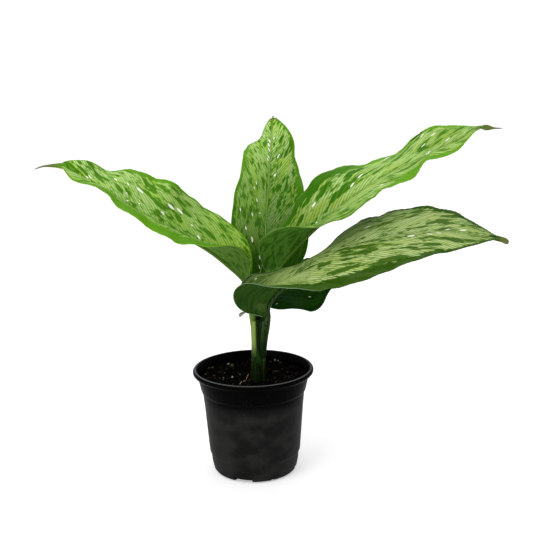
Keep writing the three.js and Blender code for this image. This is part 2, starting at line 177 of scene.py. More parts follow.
# Marks on the blades: share along the rib, share of the half (left half negative),
# length along the side veins and width. White flecks come first, then dark blotches,
# black nicks in the margin and pale patches free of blotches.
FLECKS = {
    "left": [
        [0.62, 0.48, 3.6, 3.6], [0.47, 0.44, 4, 3], [0.43, 0.47, 4, 3], [0.49, 0.22, 3.5, 1.6],
        [0.36, 0.33, 2, 1.2], [0.31, 0.14, 4, 1.5], [0.74, 0.49, 3, 1.4], [0.68, 0.48, 3.5, 1],
        [0.84, 0.17, 4, 1], [0.85, 0.1, 3, 0.9], [0.66, 0.24, 2, 1], [0.64, 0.09, 2, 1],
        [0.59, 0.17, 2, 0.9],
    ],
    "centre": [
        [0.84, -0.07, 3, 1.5], [0.815, -0.08, 3, 1.4], [0.785, -0.05, 3, 1.4], [0.745, -0.06, 3, 1.1],
        [0.73, -0.08, 3, 1.1], [0.855, 0.13, 2.2, 1], [0.77, 0.3, 3, 1], [0.755, 0.26, 2.6, 1],
        [0.655, 0.17, 3.5, 1.1], [0.58, -0.46, 2, 1.2], [0.555, -0.5, 1.6, 1], [0.5, -0.35, 2.6, 1.4],
        [0.43, -0.8, 2.2, 1.3], [0.42, -0.46, 2.4, 1.5], [0.44, -0.23, 1.6, 1], [0.34, -0.61, 2.2, 1.4],
        [0.28, -0.42, 3, 2.5], [0.17, -0.15, 2.6, 1.5], [0.1, -0.1, 3, 1.2],
    ],
    "upper_right": [
        [0.34, -0.48, 3, 2], [0.495, -0.26, 4.5, 1.3], [0.54, -0.4, 6, 1], [0.575, 0.75, 4, 0.9],
        [0.65, -0.8, 5, 0.8], [0.79, -0.78, 4, 0.8], [0.785, -0.38, 4, 0.9], [0.83, -0.62, 3, 0.8],
        [0.87, -0.2, 4, 0.9], [0.79, -0.05, 5, 0.9], [0.3, -0.06, 4, 1.6],
    ],
    "lower_right": [
        [0.545, -0.5, 3, 2], [0.68, 0.12, 3.5, 2.4], [0.74, 0.12, 4, 1.2], [0.77, 0.09, 4, 1],
        [0.8, -0.08, 2, 1.2], [0.855, -0.12, 4, 1.2], [0.19, -0.78, 1.5, 0.5],
    ],
    "back": [[0.37, 0.57, 1.6, 1], [0.07, 0.48, 1.3, 0.9]],
}
BLOTCHES = {
    "left": [
        [0.6, 0.74, 8, 6], [0.58, 0.5, 5, 4], [0.54, 0.78, 6, 4], [0.49, 0.86, 5, 5],
        [0.52, 0.37, 10, 5], [0.505, 0.2, 6, 4], [0.51, 0.52, 4, 3], [0.44, 0.7, 5, 4],
        [0.4, 0.52, 6, 3], [0.33, 0.5, 4, 3], [0.27, 0.36, 8, 5], [0.24, 0.72, 5, 3],
        [0.22, 0.55, 4, 3], [0.7, 0.25, 8, 4], [0.77, 0.36, 7, 4], [0.81, 0.35, 5, 4],
        [0.87, 0.75, 6, 2.5], [0.66, 0.3, 5, 3], [0.9, 0.4, 6, 3], [0.42, 0.3, 5, 3],
    ],
    "centre": [
        [0.44, -0.5, 5, 3], [0.39, -0.25, 6, 4], [0.41, -0.68, 4, 3], [0.67, -0.42, 5, 2.5],
        [0.6, -0.2, 4, 2.5], [0.5, -0.72, 4, 3], [0.3, -0.2, 5, 3], [0.24, -0.6, 5, 3],
        [0.8, 0.6, 5, 3], [0.5, 0.3, 6, 3], [0.4, 0.5, 6, 3], [0.6, 0.5, 6, 3],
    ],
    "upper_right": [
        [0.54, -0.65, 8, 6], [0.43, -0.27, 10, 7], [0.47, -0.35, 5, 4], [0.42, -0.6, 6, 6],
        [0.385, -0.55, 8, 5], [0.33, -0.7, 6, 5], [0.37, -0.75, 6, 5], [0.27, -0.5, 6, 5],
        [0.72, 0.4, 9, 10], [0.5, -0.5, 5, 3], [0.6, -0.3, 6, 3], [0.68, -0.5, 6, 3],
    ],
    "lower_right": [
        [0.53, 0.14, 8, 6], [0.48, 0.05, 5, 4], [0.6, -0.48, 8, 3], [0.565, -0.45, 4, 2.4],
        [0.33, -0.5, 8, 4], [0.4, -0.75, 8, 4], [0.45, -0.85, 8, 4],
        [0.74, -0.28, 6, 2.4], [0.775, -0.42, 6, 2.4], [0.79, -0.33, 4, 4], [0.715, -0.17, 4, 2.4],
        [0.7, -0.8, 6, 3], [0.82, -0.7, 8, 6], [0.41, 0.82, 8, 10], [0.46, 0.62, 7, 10],
        [0.54, 0.32, 8, 8], [0.565, 0.82, 9, 11], [0.63, 0.75, 8, 9], [0.41, 0.32, 6, 4],
        [0.48, 0.15, 7, 4], [0.68, 0.55, 6, 3], [0.75, 0.6, 8, 3], [0.82, 0.5, 8, 3], [0.9, -0.6, 6, 3],
    ],
    "back": [],
}
NICKS = {"upper_right": [[0.775, -0.93, 5, 4]]}
PALE_PATCHES = {
    "left": [[0.22, 0.4, 18, 14], [0.56, 0.3, 12, 7], [0.47, 0.6, 10, 6], [0.38, 0.25, 10, 6]],
    "centre": [[0.5, -0.2, 14, 9], [0.62, -0.6, 10, 8], [0.72, 0.5, 14, 10], [0.33, -0.4, 8, 6]],
    "upper_right": [
        [0.36, -0.62, 5, 4], [0.44, -0.62, 5, 3], [0.48, -0.6, 5, 3], [0.33, -0.3, 12, 12],
        [0.52, -0.15, 12, 8], [0.4, -0.08, 8, 8], [0.66, -0.2, 14, 9], [0.5, 0.4, 16, 12],
    ],
    "lower_right": [
        [0.505, 0.72, 9, 9], [0.595, 0.5, 8, 7], [0.375, 0.55, 8, 7], [0.6, 0.85, 4, 5],
        [0.33, 0.35, 16, 9], [0.43, 0.2, 8, 5], [0.68, -0.4, 16, 12], [0.66, 0.3, 12, 7],
        [0.8, 0.2, 14, 9], [0.5, -0.5, 14, 12], [0.25, -0.4, 20, 14], [0.27, 0.5, 16, 10],
    ],
    "back": [],
}
OUTLINE_STEPS = (340, 42)  # along a blade, and across each of its halves
BLADE_START, BLADE_END = 0.004, 0.99  # shares along the rib where a blade begins and ends
BLADE_BULGE = 0.06  # how far each half swells upwards, as a share of its width
VEIN_CURVE = 0.008  # how far a side vein bends tipwards, per millimetre outwards squared
VEIN_SPACING = 6.3  # from one raised side vein to the next
RIPPLE_HEIGHT, RIPPLE_LENGTH = 0.12, 11.7  # fine ripple along the margin
GROOVE_DEPTH, GROOVE_WIDTH = 0.2, 1.5  # groove over the midrib
END_FADE = 0.08  # share of the rib over which all relief sets in, and at the tip runs out
MARGIN_THINNING = 0.35  # share of the thickness lost at the margin
PATTERN_START, PATTERN_STEP = 1.7, 11.3  # set each leaf's noise apart from the others
LANE = 1.3  # width of the strips between side veins in which a blotch ends at one place
LINE_SPACING = 2.0  # between the thin lines along the side veins
FLECK_SPREAD = 1.15  # how much larger than listed the white flecks are drawn
RIB_RADIUS = (2.0, 0.7)  # of the midrib, at the base and at the tip
RIB_SINK = 0.85  # how far it hangs below the blade, as a share of its radius
RIB_KNOTS = 9
STALK_STEPS, STALK_SIDES = 150, 20
TIP_STEPS, TIP_SIDES, TIP_FLAT = 60, 16, 0.35
DRY_FIBRE = [[1, -17.5, 149.6], [-2, -18, 150.2], [-5.5, -20, 151], [-9, -22, 150], [-10, -22, 147.6]]

# Profile of the pot, [radius, height]: outside from the middle of its base to the lip,
# and inside from the lip to the middle of its floor.
POT_OUTSIDE = [
    [0, 0], [34.5, 0], [36.2, 0.8], [37.6, 2.6], [39.1, 10], [39.8, 17.2], [40.9, 18.6], [41.3, 23],
    [44.3, 61], [45.7, 74], [46.9, 75.6], [48.8, 84], [49.6, 89.4], [52.6, 90.2], [53.9, 91.6],
    [54, 93.4], [53, 94.8], [51.4, 95],
]
POT_INSIDE = [
    [50.4, 94.2], [48.4, 89.4], [47.4, 84], [45.4, 75.8], [44.4, 74], [43, 61], [40, 23], [38.4, 17],
    [37.6, 10], [36.2, 3.4], [34.8, 2], [0, 2],
]
# Drainage notches in the foot: from, to in degrees round from the front, height.
POT_NOTCHES = [
    [-31, -4, 4.2], [23, 29, 1.6], [70, 96, 4.4], [-74, -61, 2.4],
    [118, 142, 3.4], [168, 190, 3.4], [214, 238, 3.4], [260, 274, 2.4],
]
NOTCH_INNER, NOTCH_OUTER, NOTCH_LOWEST = 31, 60, -3  # reach of the blocks that cut them

# Height of the soil round the stem, its climb per millimetre of radius squared and the
# height of its lumps.
SOIL_MIDDLE, SOIL_RISE, SOIL_LUMP = 82.5, 0.0018, 0.9
SOIL_EDGE, SOIL_SIDES = 47.2, 220  # radius inside which its top is rough, and its facets
# Radii of the rings on top: the outermost, then the first and the last of the others.
SOIL_TOP, SOIL_RINGS = (47.1, 46.9, 0.5), 90
# Side of the soil from below up, [radius, height].
SOIL_WALL = [
    [0, 2.4], [34.2, 2.4], [35.6, 3.8], [37, 10], [37.8, 17], [39.4, 23], [42.4, 61], [43.8, 74],
    [44.8, 75.8], [45.6, 80],
]
SOIL_NOISE = [(0.55, 2.6, 3), (0.4, 1.1, 4), (0.22, 0.5, 5)]  # height, size and seed
LATTICE = 64  # squares after which a noise repeats
# Crumbs lie between two radii, and the inner ones round the middle of the stem.
CRUMB_RING, STEM_MIDDLE = (8.8, 45.2), (4.5, 0.3)
LUMP_UNEVEN = (-0.28, 0.22)  # how far a point of a grain is moved, as a share of its radius
LUMP_SINK = 0.25  # how deep a grain sits in the soil, as a share of its radius
PLACE_SEED, CRUMB_SEED, PERLITE_SEED, BARK_SEED = 21, 5, 8, 30
ROOT_LINE = [[-12, -15], [-10.4, -9], [-9, -3], [-6.6, 3], [-5.4, 9], [-4, 15]]
# The stem: x, y and z of its middle and its radius there, from below the soil up.
STEM_RINGS = [
    [3.5, 1, 62, 6.6], [4.4, 0.6, 80, 7.4], [4.7, 0.3, 90, 7.5], [5, 0.2, 104, 6.6],
    [5, 0.6, 118, 6.4], [5, 1.4, 130, 6.8], [5, 2, 138, 6.6],
]
STEM_ROWS, STEM_SIDES = 110, 96
STEM_NODES, NODE_SWELL = [(101, 0.9), (90.5, 0.8)], 0.22  # height and width of each, swelling
# The big grains seen on the soil: x, y, radius and, for bark, which shade.
PERLITE = [
    [-19, 4, 1.1], [-27, 3, 0.9], [-23.5, 36, 1.4], [-29, 40, 0.9], [20, 42, 1.3], [23, 41, 1],
    [-8, -3, 1.1], [-12, 12, 0.8],
]
BARK = [
    [20, 17, 3.2, 0], [25, 33, 2, 1], [34, 24, 1.8, 2], [29, -1, 1.6, 2], [14, 21, 1.8, 3],
    [-20, 31, 1.8, 1], [-41, 21, 1.6, 1], [-38, 25, 1.3, 0], [-25, 22, 1.4, 2], [-31, 14, 1.4, 2],
    [-3.5, -2, 1.4, 3], [39, 8, 1.4, 2], [10, 36, 1.3, 2], [-8, 34, 1.4, 2], [-14, 17, 1.3, 0],
    [31, 10, 1.3, 1], [-36, 7, 1.2, 1], [4, 25, 1.3, 2],
]

FLECK_WHITE = (1.0, 1.0, 0.88)
# Colours of other small things, as web codes. Crumbs and perlite have several shades,
# each with the share of the grains that lie before it.
DRY_OLIVE, DRY_GREY, NICK_BLACK = "5f6b2e", "6f6a58", "0c0a06"
FIBRE_PALE, FIBRE_DARK = "9aa08c", "4c5440"
ROOT_PALE, ROOT_BROWN = "9d8d74", "6b4a2c"
# The crumbs' darkest shades are likewise partly painted shade.
CRUMB_SHADES = [(0, "020201"), (0.55, "070503"), (0.78, "151109"), (0.89, "2c2617"), (0.96, "4d4630")]
PERLITE_SHADES = [(0, "96938a"), (0.5, "74705f")]
BARK_SHADES = {"a": "463b29", "b": "413a27", "c": "241d13", "d": "3d2014"}

# The camera's aim and distance in metres, its tilt and roll in degrees and its lens in
# millimetres.
CAMERA_AIM, CAMERA_AWAY = (0.0139, 0, 0.1868), 0.857
CAMERA_TILT, CAMERA_ROLL, CAMERA_LENS = 12.46, -1.24, 66.16
FLOOR_HALF, FLOOR_LEVEL = 4000, -0.2  # half the floor's width and its height
# Square lights: place, point they face and size, in metres.
LIGHTS = {
    "key": ((-0.75, -0.9, 1.25), (0, 0, 0.15), 0.9),
    "fill": ((0.25, 0.7, 1.5), (0, 0, 0.2), 1.2),
}


# ------------------------------------------------------------------ small helpers


def linear(code):
    """Linear colour of a six-figure web colour."""
    shares = [int(code[i : i + 2], 16) / 255 for i in (0, 2, 4)]
    return tuple(s / 12.92 if s <= 0.04045 else ((s + 0.055) / 1.055) ** 2.4 for s in shares)


def tint(name, description, code):
    """A colour that can be changed, from its web code."""
    shown = {"name": name, "description": description}
    return FloatVectorProperty(**shown, subtype="COLOR", default=linear(code))


def amount(name, description, default, **more):
    """A number that can be changed; more gives its unit or its range."""
    return FloatProperty(name=name, description=description, default=default, **more)


def unit(vectors):
    """Each row divided by its length."""
    return vectors / np.maximum(np.linalg.norm(vectors, axis=-1, keepdims=True), 1e-12)


def smooth(values, u):
    """Catmull-Rom through evenly spaced rows: between two rows a cubic whose slope at
    each is half the step between its neighbours; past an end the last step is repeated."""
    rows = np.asarray(values, float)
    flat = rows.ndim == 1
    rows = rows[:, None] if flat else rows
    last = len(rows) - 1
    at = np.clip(np.asarray(u, float), 0, 1) * last
    i = np.minimum(at.astype(int), last - 1)
    t = (at - i)[..., None]
    padded = np.vstack([2 * rows[0] - rows[1], rows, 2 * rows[-1] - rows[-2]])
    before, a, b, after = padded[i], padded[i + 1], padded[i + 2], padded[i + 3]
    curve = 0.5 * (
        2 * a
        + (b - before) * t
        + (2 * before - 5 * a + 4 * b - after) * t**2
        + (3 * a - before - 3 * b + after) * t**3
    )
    return curve[..., 0] if flat else curve


def grid_faces(rows, columns, closed=False):
    """Quads of a grid of points, row by row; closed joins the last column to the first."""
    i, j = np.meshgrid(np.arange(rows - 1), np.arange(columns - (not closed)), indexing="ij")
    k = (j + 1) % columns
    quads = [i * columns + j, i * columns + k, (i + 1) * columns + k, (i + 1) * columns + j]
    return np.stack(quads, -1).reshape(-1, 4)


def closed_rings(rings, first, last):
    """Points and faces of rings of points one after another, the first and the last ring
    closed by a fan onto a pole each."""
    rows, sides = rings.shape[:2]
    points = np.vstack([rings.reshape(-1, 3), [first], [last]])
    ring, pole, top = np.arange(sides), np.full(sides, rows * sides), (rows - 1) * sides
    ahead = (ring + 1) % sides
    faces = grid_faces(rows, sides, closed=True).tolist()
    faces += np.stack([pole, ahead, ring], 1).tolist()
    faces += np.stack([pole + 1, top + ring, top + ahead], 1).tolist()
    return points, faces


def round_angles(sides):
    """Equal steps once round, the last one left to the first."""
    return np.linspace(0, 2 * math.pi, sides, endpoint=False)


def new_object(name, points, faces, material, smooth_shading=True):
    """Mesh object at the origin from points in millimetres."""
    mesh = bpy.data.meshes.new(name)
    mesh.from_pydata((np.asarray(points) * MM).tolist(), [], [list(map(int, f)) for f in faces])
    mesh.validate()
    mesh.shade_smooth() if smooth_shading else mesh.shade_flat()
    obj = bpy.data.objects.new(name, mesh)
    bpy.context.scene.collection.objects.link(obj)
    mesh.materials.append(material)
    return obj


def add_number(obj, name, values):
    """A number kept on every point of a mesh for its material to read."""
    layer = obj.data.attributes.new(name, "FLOAT", "POINT")
    layer.data.foreach_set("value", np.asarray(values, np.float32).ravel())


def finish_piece(obj, slot, *nodes):
    """The piece rides on the plant's only body and stands for these nodes."""
    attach(obj, BODY)
    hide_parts(*nodes)


def face_outwards(obj):
    """Turns the faces of a closed mesh outwards."""
    mesh = bmesh.new()
    mesh.from_mesh(obj.data)
    bmesh.ops.recalc_face_normals(mesh, faces=mesh.faces)
    mesh.to_mesh(obj.data)
    mesh.free()


def tube(path, radii, sides, flat=1.0):
    """Closed tube along a path: rings square to it, round or flattened to the share flat
    of their width, the first and the last closed by a fan onto their middles. The rings
    keep their flat side turned towards the front."""
    path, radii = np.asarray(path, float), np.asarray(radii, float)
    along = unit(np.gradient(path, axis=0))
    side = unit(np.cross(np.array([0.25, -1, 0.2]), along))
    thin = np.cross(along, side) * flat
    angle = round_angles(sides)[None, :, None]
    spokes = side[:, None] * np.cos(angle) + thin[:, None] * np.sin(angle)
    return closed_rings(path[:, None] + radii[:, None, None] * spokes, path[0], path[-1])


# ------------------------------------------------------------------ shader writing

# Sockets of the surface that only some pieces fill.
SOCKETS = {
    "specular": "Specular IOR Level",
    "coat": "Coat Weight",
    "coat_roughness": "Coat Roughness",
    "emission": "Emission Color",
    "glow": "Emission Strength",
}


class Wire:
    """A value running through a material, which arithmetic can be written on."""

    def __init__(self, paint, socket):
        self.paint, self.socket = paint, socket

    def math(self, operation, *others):
        values = dict(enumerate((self, *others)))
        return self.paint.node("ShaderNodeMath", {"operation": operation}, values)

    def __add__(self, other):
        return self.math("ADD", other)

    def __sub__(self, other):
        return self.math("SUBTRACT", other)

    def __rsub__(self, other):
        return self.paint.number(other).math("SUBTRACT", self)

    def __mul__(self, other):
        return self.math("MULTIPLY", other)

    def __truediv__(self, other):
        return self.math("DIVIDE", other)

    __radd__ = __add__
    __rmul__ = __mul__


class Paint:
    """A material or a world under construction and the nodes it is made of."""

    def __init__(self, owner):
        owner.use_nodes = True
        self.owner, self.tree = owner, owner.node_tree
        self.tree.nodes.clear()

    def node(self, kind, settings=None, inputs=None, out=0):
        """Any node: its settings are set first, then its sockets are filled or linked."""
        made = self.tree.nodes.new(kind)
        for key, value in (settings or {}).items():
            setattr(made, key, value)
        for key, value in (inputs or {}).items():
            socket = made.inputs[key]
            if isinstance(value, Wire):
                self.tree.links.new(value.socket, socket)
            elif hasattr(value, "__len__") and len(value) == 3 and socket.type == "RGBA":
                socket.default_value = (*value, 1)
            else:
                socket.default_value = value
        return Wire(self, made.outputs[out])

    def number(self, value):
        made = self.tree.nodes.new("ShaderNodeValue")
        made.outputs[0].default_value = value
        return Wire(self, made.outputs[0])

    def attribute(self, name):
        return self.node("ShaderNodeAttribute", {"attribute_name": name}, out="Fac")

    def place(self):
        """Place on the object, in millimetres."""
        spot = self.node("ShaderNodeTexCoord", out="Object")
        return self.node("ShaderNodeVectorMath", {"operation": "SCALE"}, {0: spot, "Scale": 1000.0})

    def vector(self, x, y, z):
        return self.node("ShaderNodeCombineXYZ", {}, {0: x, 1: y, 2: z})

    def parts(self, vector):
        split = self.node("ShaderNodeSeparateXYZ", {}, {0: vector}).socket.node
        return [Wire(self, split.outputs[i]) for i in range(3)]

    def stretched(self, vector, x, y, z):
        """The place with each of its numbers multiplied by its own factor."""
        return self.node("ShaderNodeVectorMath", {"operation": "MULTIPLY"}, {0: vector, 1: (x, y, z)})

    def noise(self, vector, scale=1.0, detail=2.0, rough=0.5):
        values = {"Vector": vector, "Scale": scale, "Detail": detail, "Roughness": rough}
        return self.node("ShaderNodeTexNoise", {}, values)

    def chance(self, x, y):
        """A random number from 0 to 1 for each pair of numbers."""
        pair = self.vector(x, y, 0.0)
        return self.node("ShaderNodeTexWhiteNoise", {"noise_dimensions": "2D"}, {"Vector": pair})

    def step(self, value, low, high):
        """0 below low, 1 above high, and a smooth rise between them."""
        values = {"Value": value, "From Min": low, "From Max": high}
        return self.node("ShaderNodeMapRange", {"interpolation_type": "SMOOTHSTEP"}, values)

    def mix(self, share, a, b):
        """Colour a where share is 0 and colour b where it is 1."""
        return self.node("ShaderNodeMix", {"data_type": "RGBA"}, {"Factor": share, 6: a, 7: b}, out=2)

    def finish(self, color, roughness, height=None, bump=0.3, distance=0.0005, **fixed):
        """The surface itself; fixed fills the sockets that only some pieces use."""
        inputs = {"Base Color": color, "Roughness": roughness}
        if height is not None:
            values = {"Strength": bump, "Distance": distance, "Height": height}
            inputs["Normal"] = self.node("ShaderNodeBump", {}, values)
        inputs.update({SOCKETS[key]: value for key, value in fixed.items()})
        surface = self.node("ShaderNodeBsdfPrincipled", {}, inputs)
        return self.close("ShaderNodeOutputMaterial", surface)

    def close(self, kind, surface):
        """The output node, and the finished material or world."""
        output = self.tree.nodes.new(kind)
        self.tree.links.new(surface.socket, output.inputs["Surface"])
        return self.owner


def new_paint(name):
    """A new material to be painted."""
    return Paint(bpy.data.materials.new(name))


# ------------------------------------------------------------------ leaves


def outline(u):
    """Outline of a blade along its rib: sin(pi u^0.8)^0.7, a broad oval with a point."""
    return np.sin(math.pi * np.clip(u, 0, 1) ** 0.8) ** 0.7


def rib_frame(leaf, u):
    """Point of the rib, and the directions to the blade's right and to its upper side:
    both square to the rib and to each other, the upper one as near as can be to the way
    the listed faces look."""
    step = 1e-3
    along = unit(smooth(leaf["rib"], u + step) - smooth(leaf["rib"], u - step))
    side = unit(np.cross(along, smooth(leaf["faces"], u)))
    return smooth(leaf["rib"], u), side, np.cross(side, along)


def blade_points(leaf, u, v):
    """Middle surface of a blade and its half width there: from the rib point go out by v
    times the half width, along a line lifted from the sideways one, and up by a shallow
    parabola in v."""
    point, side, up = rib_frame(leaf, u)
    right = v >= 0
    share = np.abs(v)
    sign = np.where(right, 1.0, -1.0)[..., None]
    reach = np.where(right, smooth(leaf["right_reach"], u), smooth(leaf["left_reach"], u)) * outline(u)
    slope = np.where(right, smooth(leaf["right_lift"], u), smooth(leaf["left_lift"], u))
    lift = np.radians(slope)[..., None]
    across = side * sign * np.cos(lift) + up * np.sin(lift)
    over = up * np.cos(lift) - side * sign * np.sin(lift)
    swell = reach * BLADE_BULGE * 4 * share * (1 - share)
    return point + across * (reach * share)[..., None] + over * swell[..., None], reach


def surface_normal(grid):
    """Direction square to a grid of points."""
    return unit(np.cross(np.gradient(grid, axis=1), np.gradient(grid, axis=0)))


def vein_coordinate(distance, out, lean, length):
    """Distance w along the rib at which the side vein through a point leaves it. The
    vein reaches distance = w + (a + (b - a) w / length) out + c out^2, where a and b are
    its leans at the base and at the tip and c is VEIN_CURVE; this is that line solved
    for w."""
    base, tip = lean
    return (distance - base * out - VEIN_CURVE * out**2) / (1 + (tip - base) * out / length)


def by_station(pair, u, v):
    """A number listed for each half at equal steps along the rib, read off in straight
    lines between them."""
    left, right = (np.interp(u, np.linspace(0, 1, len(row)), row) for row in pair)
    return np.where(v >= 0, right, left)


def mark_cover(marks, lean, u_line, distance, reach, vein, out, v, spread=1.0):
    """How far inside a mark each point lies: 1.5 in its middle, 0.5 on the rim of an
    oval laid along the side veins, and 0 beyond. Marks keep to their own half. spread
    enlarges every mark."""
    cover = np.zeros_like(v)
    total = distance[-1, 0]
    for along, across, length, width in marks:
        column = -1 if across > 0 else 0
        middle = abs(across) * np.interp(along, u_line, reach[:, column])
        start = vein_coordinate(np.interp(along, u_line, distance[:, 0]), middle, lean, total)
        slant = math.hypot(lean[0] + (lean[1] - lean[0]) * start / total, 1)
        sideways = (vein - start) / (0.5 * spread * width * slant)
        lengthways = (out - middle) / (0.5 * spread * length / slant)
        inside = np.clip(1.5 - np.hypot(sideways, lengthways), 0, 1.5)
        cover = np.maximum(cover, np.where(np.sign(v) == np.sign(across), inside, 0))
    return cover


def make_blade(name, key, look, material):
    """Thin closed sheet. The middle surface swings up and down along its normals in
    waves that grow with the cube of v towards the margin. It is then moved out both ways
    by half the thickness, which is less at the margin, with low sine waves whose crests
    follow the side veins, a fine ripple at the margin and a groove over the midrib."""
    leaf = LEAVES[key]
    rows, half = OUTLINE_STEPS
    s = np.linspace(0, 1, rows)
    u_line = BLADE_START + (BLADE_END - BLADE_START) * (0.55 * s + 0.225 * (1 - np.cos(math.pi * s)))
    v_half = np.linspace(0, 1, half + 1) ** 0.9
    v_line = np.concatenate([-v_half[:0:-1], v_half])
    u, v = np.meshgrid(u_line, v_line, indexing="ij")
    middle, reach = blade_points(leaf, u, v)
    # Millimetres along the rib and out from it.
    steps = np.linalg.norm(np.diff(smooth(leaf["rib"], u_line), axis=0), axis=1)
    distance = np.concatenate([[0], np.cumsum(steps)])[:, None] + 0 * v
    out = reach * np.abs(v)
    vein = vein_coordinate(distance, out, leaf["lean"], distance[-1, 0])
    ends = np.clip(np.minimum(u, 1 - u) / END_FADE, 0, 1)
    swing = np.sin(2 * math.pi * distance / look.wave_length * MM + 2 * np.sign(v))
    swing = look.wave_height / MM * swing * (0.7 + 0.3 * np.sin(distance / 9))
    swing = swing * np.abs(v) ** 3 * np.clip(reach / 30, 0, 1) * ends
    middle = middle + surface_normal(middle) * swing[..., None]
    normal = surface_normal(middle)
    wave = np.sin(2 * math.pi * vein / VEIN_SPACING + 0.7 * np.sin(vein / 9))
    wave = look.vein_relief / MM * wave * np.clip(out / 6, 0, 1) * ends
    ripple = RIPPLE_HEIGHT * np.sin(2 * math.pi * distance / RIPPLE_LENGTH + np.sign(v))
    ripple = ripple * np.abs(v) ** 4 * ends
    groove = -GROOVE_DEPTH * np.exp(-((out / GROOVE_WIDTH) ** 2)) * ends
    thickness = look.thickness / MM * (1 - MARGIN_THINNING * np.abs(v) ** 3)
    relief = wave + ripple
    upper = middle + normal * (thickness / 2 + relief + groove)[..., None]
    lower = middle - normal * (thickness / 2 - relief * 0.8)[..., None]
    # Upper grid, lower grid and the rim that joins them.
    columns = len(v_line)
    count = rows * columns
    faces = grid_faces(rows, columns)[:, ::-1]
    rim_a = np.concatenate([
        np.arange(columns - 1), np.arange(rows - 1) * columns + columns - 1,
        count - 1 - np.arange(columns - 1), (rows - 1 - np.arange(rows - 1)) * columns,
    ])
    rim_b = np.roll(rim_a, -1)
    rim = np.stack([rim_a, rim_b, rim_b + count, rim_a + count], 1)
    faces = np.concatenate([faces, faces[:, ::-1] + count, rim])
    points = np.concatenate([upper.reshape(-1, 3), lower.reshape(-1, 3)])
    obj = new_object(name, points, faces, material)
    where = (leaf["lean"], u_line, distance, reach, vein, out, v)
    blotch = mark_cover(BLOTCHES[key], *where)
    numbers = {
        "vein": vein, "out": out, "edge": reach * (1 - np.abs(v)), "half": np.sign(v), "share": u,
        "fleck": mark_cover(FLECKS[key], *where, spread=FLECK_SPREAD),
        "nick": mark_cover(NICKS.get(key, []), *where),
        "spot": blotch - mark_cover(PALE_PATCHES[key], *where) * (1 - np.minimum(blotch, 1)),
        **{guide: by_station(leaf[guide], u, v) for guide in ("band", "veil", "deep")},
    }
    for label, values in numbers.items():
        add_number(obj, label, np.tile(values.ravel(), 2))
    add_number(obj, "under", np.repeat([0.0, 1.0], count))
    face_outwards(obj)
    return obj


def make_rod(name, knots, radii, steps, sides, material, flat=1.0):
    """Rod along a smooth path through the knots, with a number from 0 at its first end to
    1 at its last. radii gives the radius for each share of the way."""
    t = np.linspace(0, 1, steps)
    obj = new_object(name, *tube(smooth(knots, t), radii(t), sides, flat), material)
    add_number(obj, "share", np.concatenate([np.repeat(t, sides), [0, 1]]))
    return obj


def make_stalk(name, leaf, material):
    """Round rod from inside the stem up under the rib to the blade's tip; its radius
    falls from the stalk's to the rib's."""
    u = np.linspace(0, 1, RIB_KNOTS)
    point, _, up = rib_frame(leaf, u)
    radius = RIB_RADIUS[0] + (RIB_RADIUS[1] - RIB_RADIUS[0]) * u**0.7
    knots = np.vstack([leaf["stalk"], point - up * (RIB_SINK * radius)[:, None]])
    radii = np.concatenate([np.full(len(leaf["stalk"]), leaf["stalk_radius"]), radius])
    return make_rod(
        name, knots, lambda t: np.maximum(smooth(radii, t), 0.4), STALK_STEPS, STALK_SIDES, material
    )


def make_tip(name, leaf, material):
    """Drip tip: a flattened rod that runs on from the blade's end along the listed
    points with the listed half widths and ends in a rounded point."""
    knots = np.vstack([smooth(leaf["rib"], np.array([0.955, 0.985])), leaf["drip"]])

    def widths(t):
        return smooth(leaf["tip"], t) * np.sqrt(np.clip((1 - t) / 0.08, 0.02, 1))

    return make_rod(name, knots, widths, TIP_STEPS, TIP_SIDES, material, TIP_FLAT)


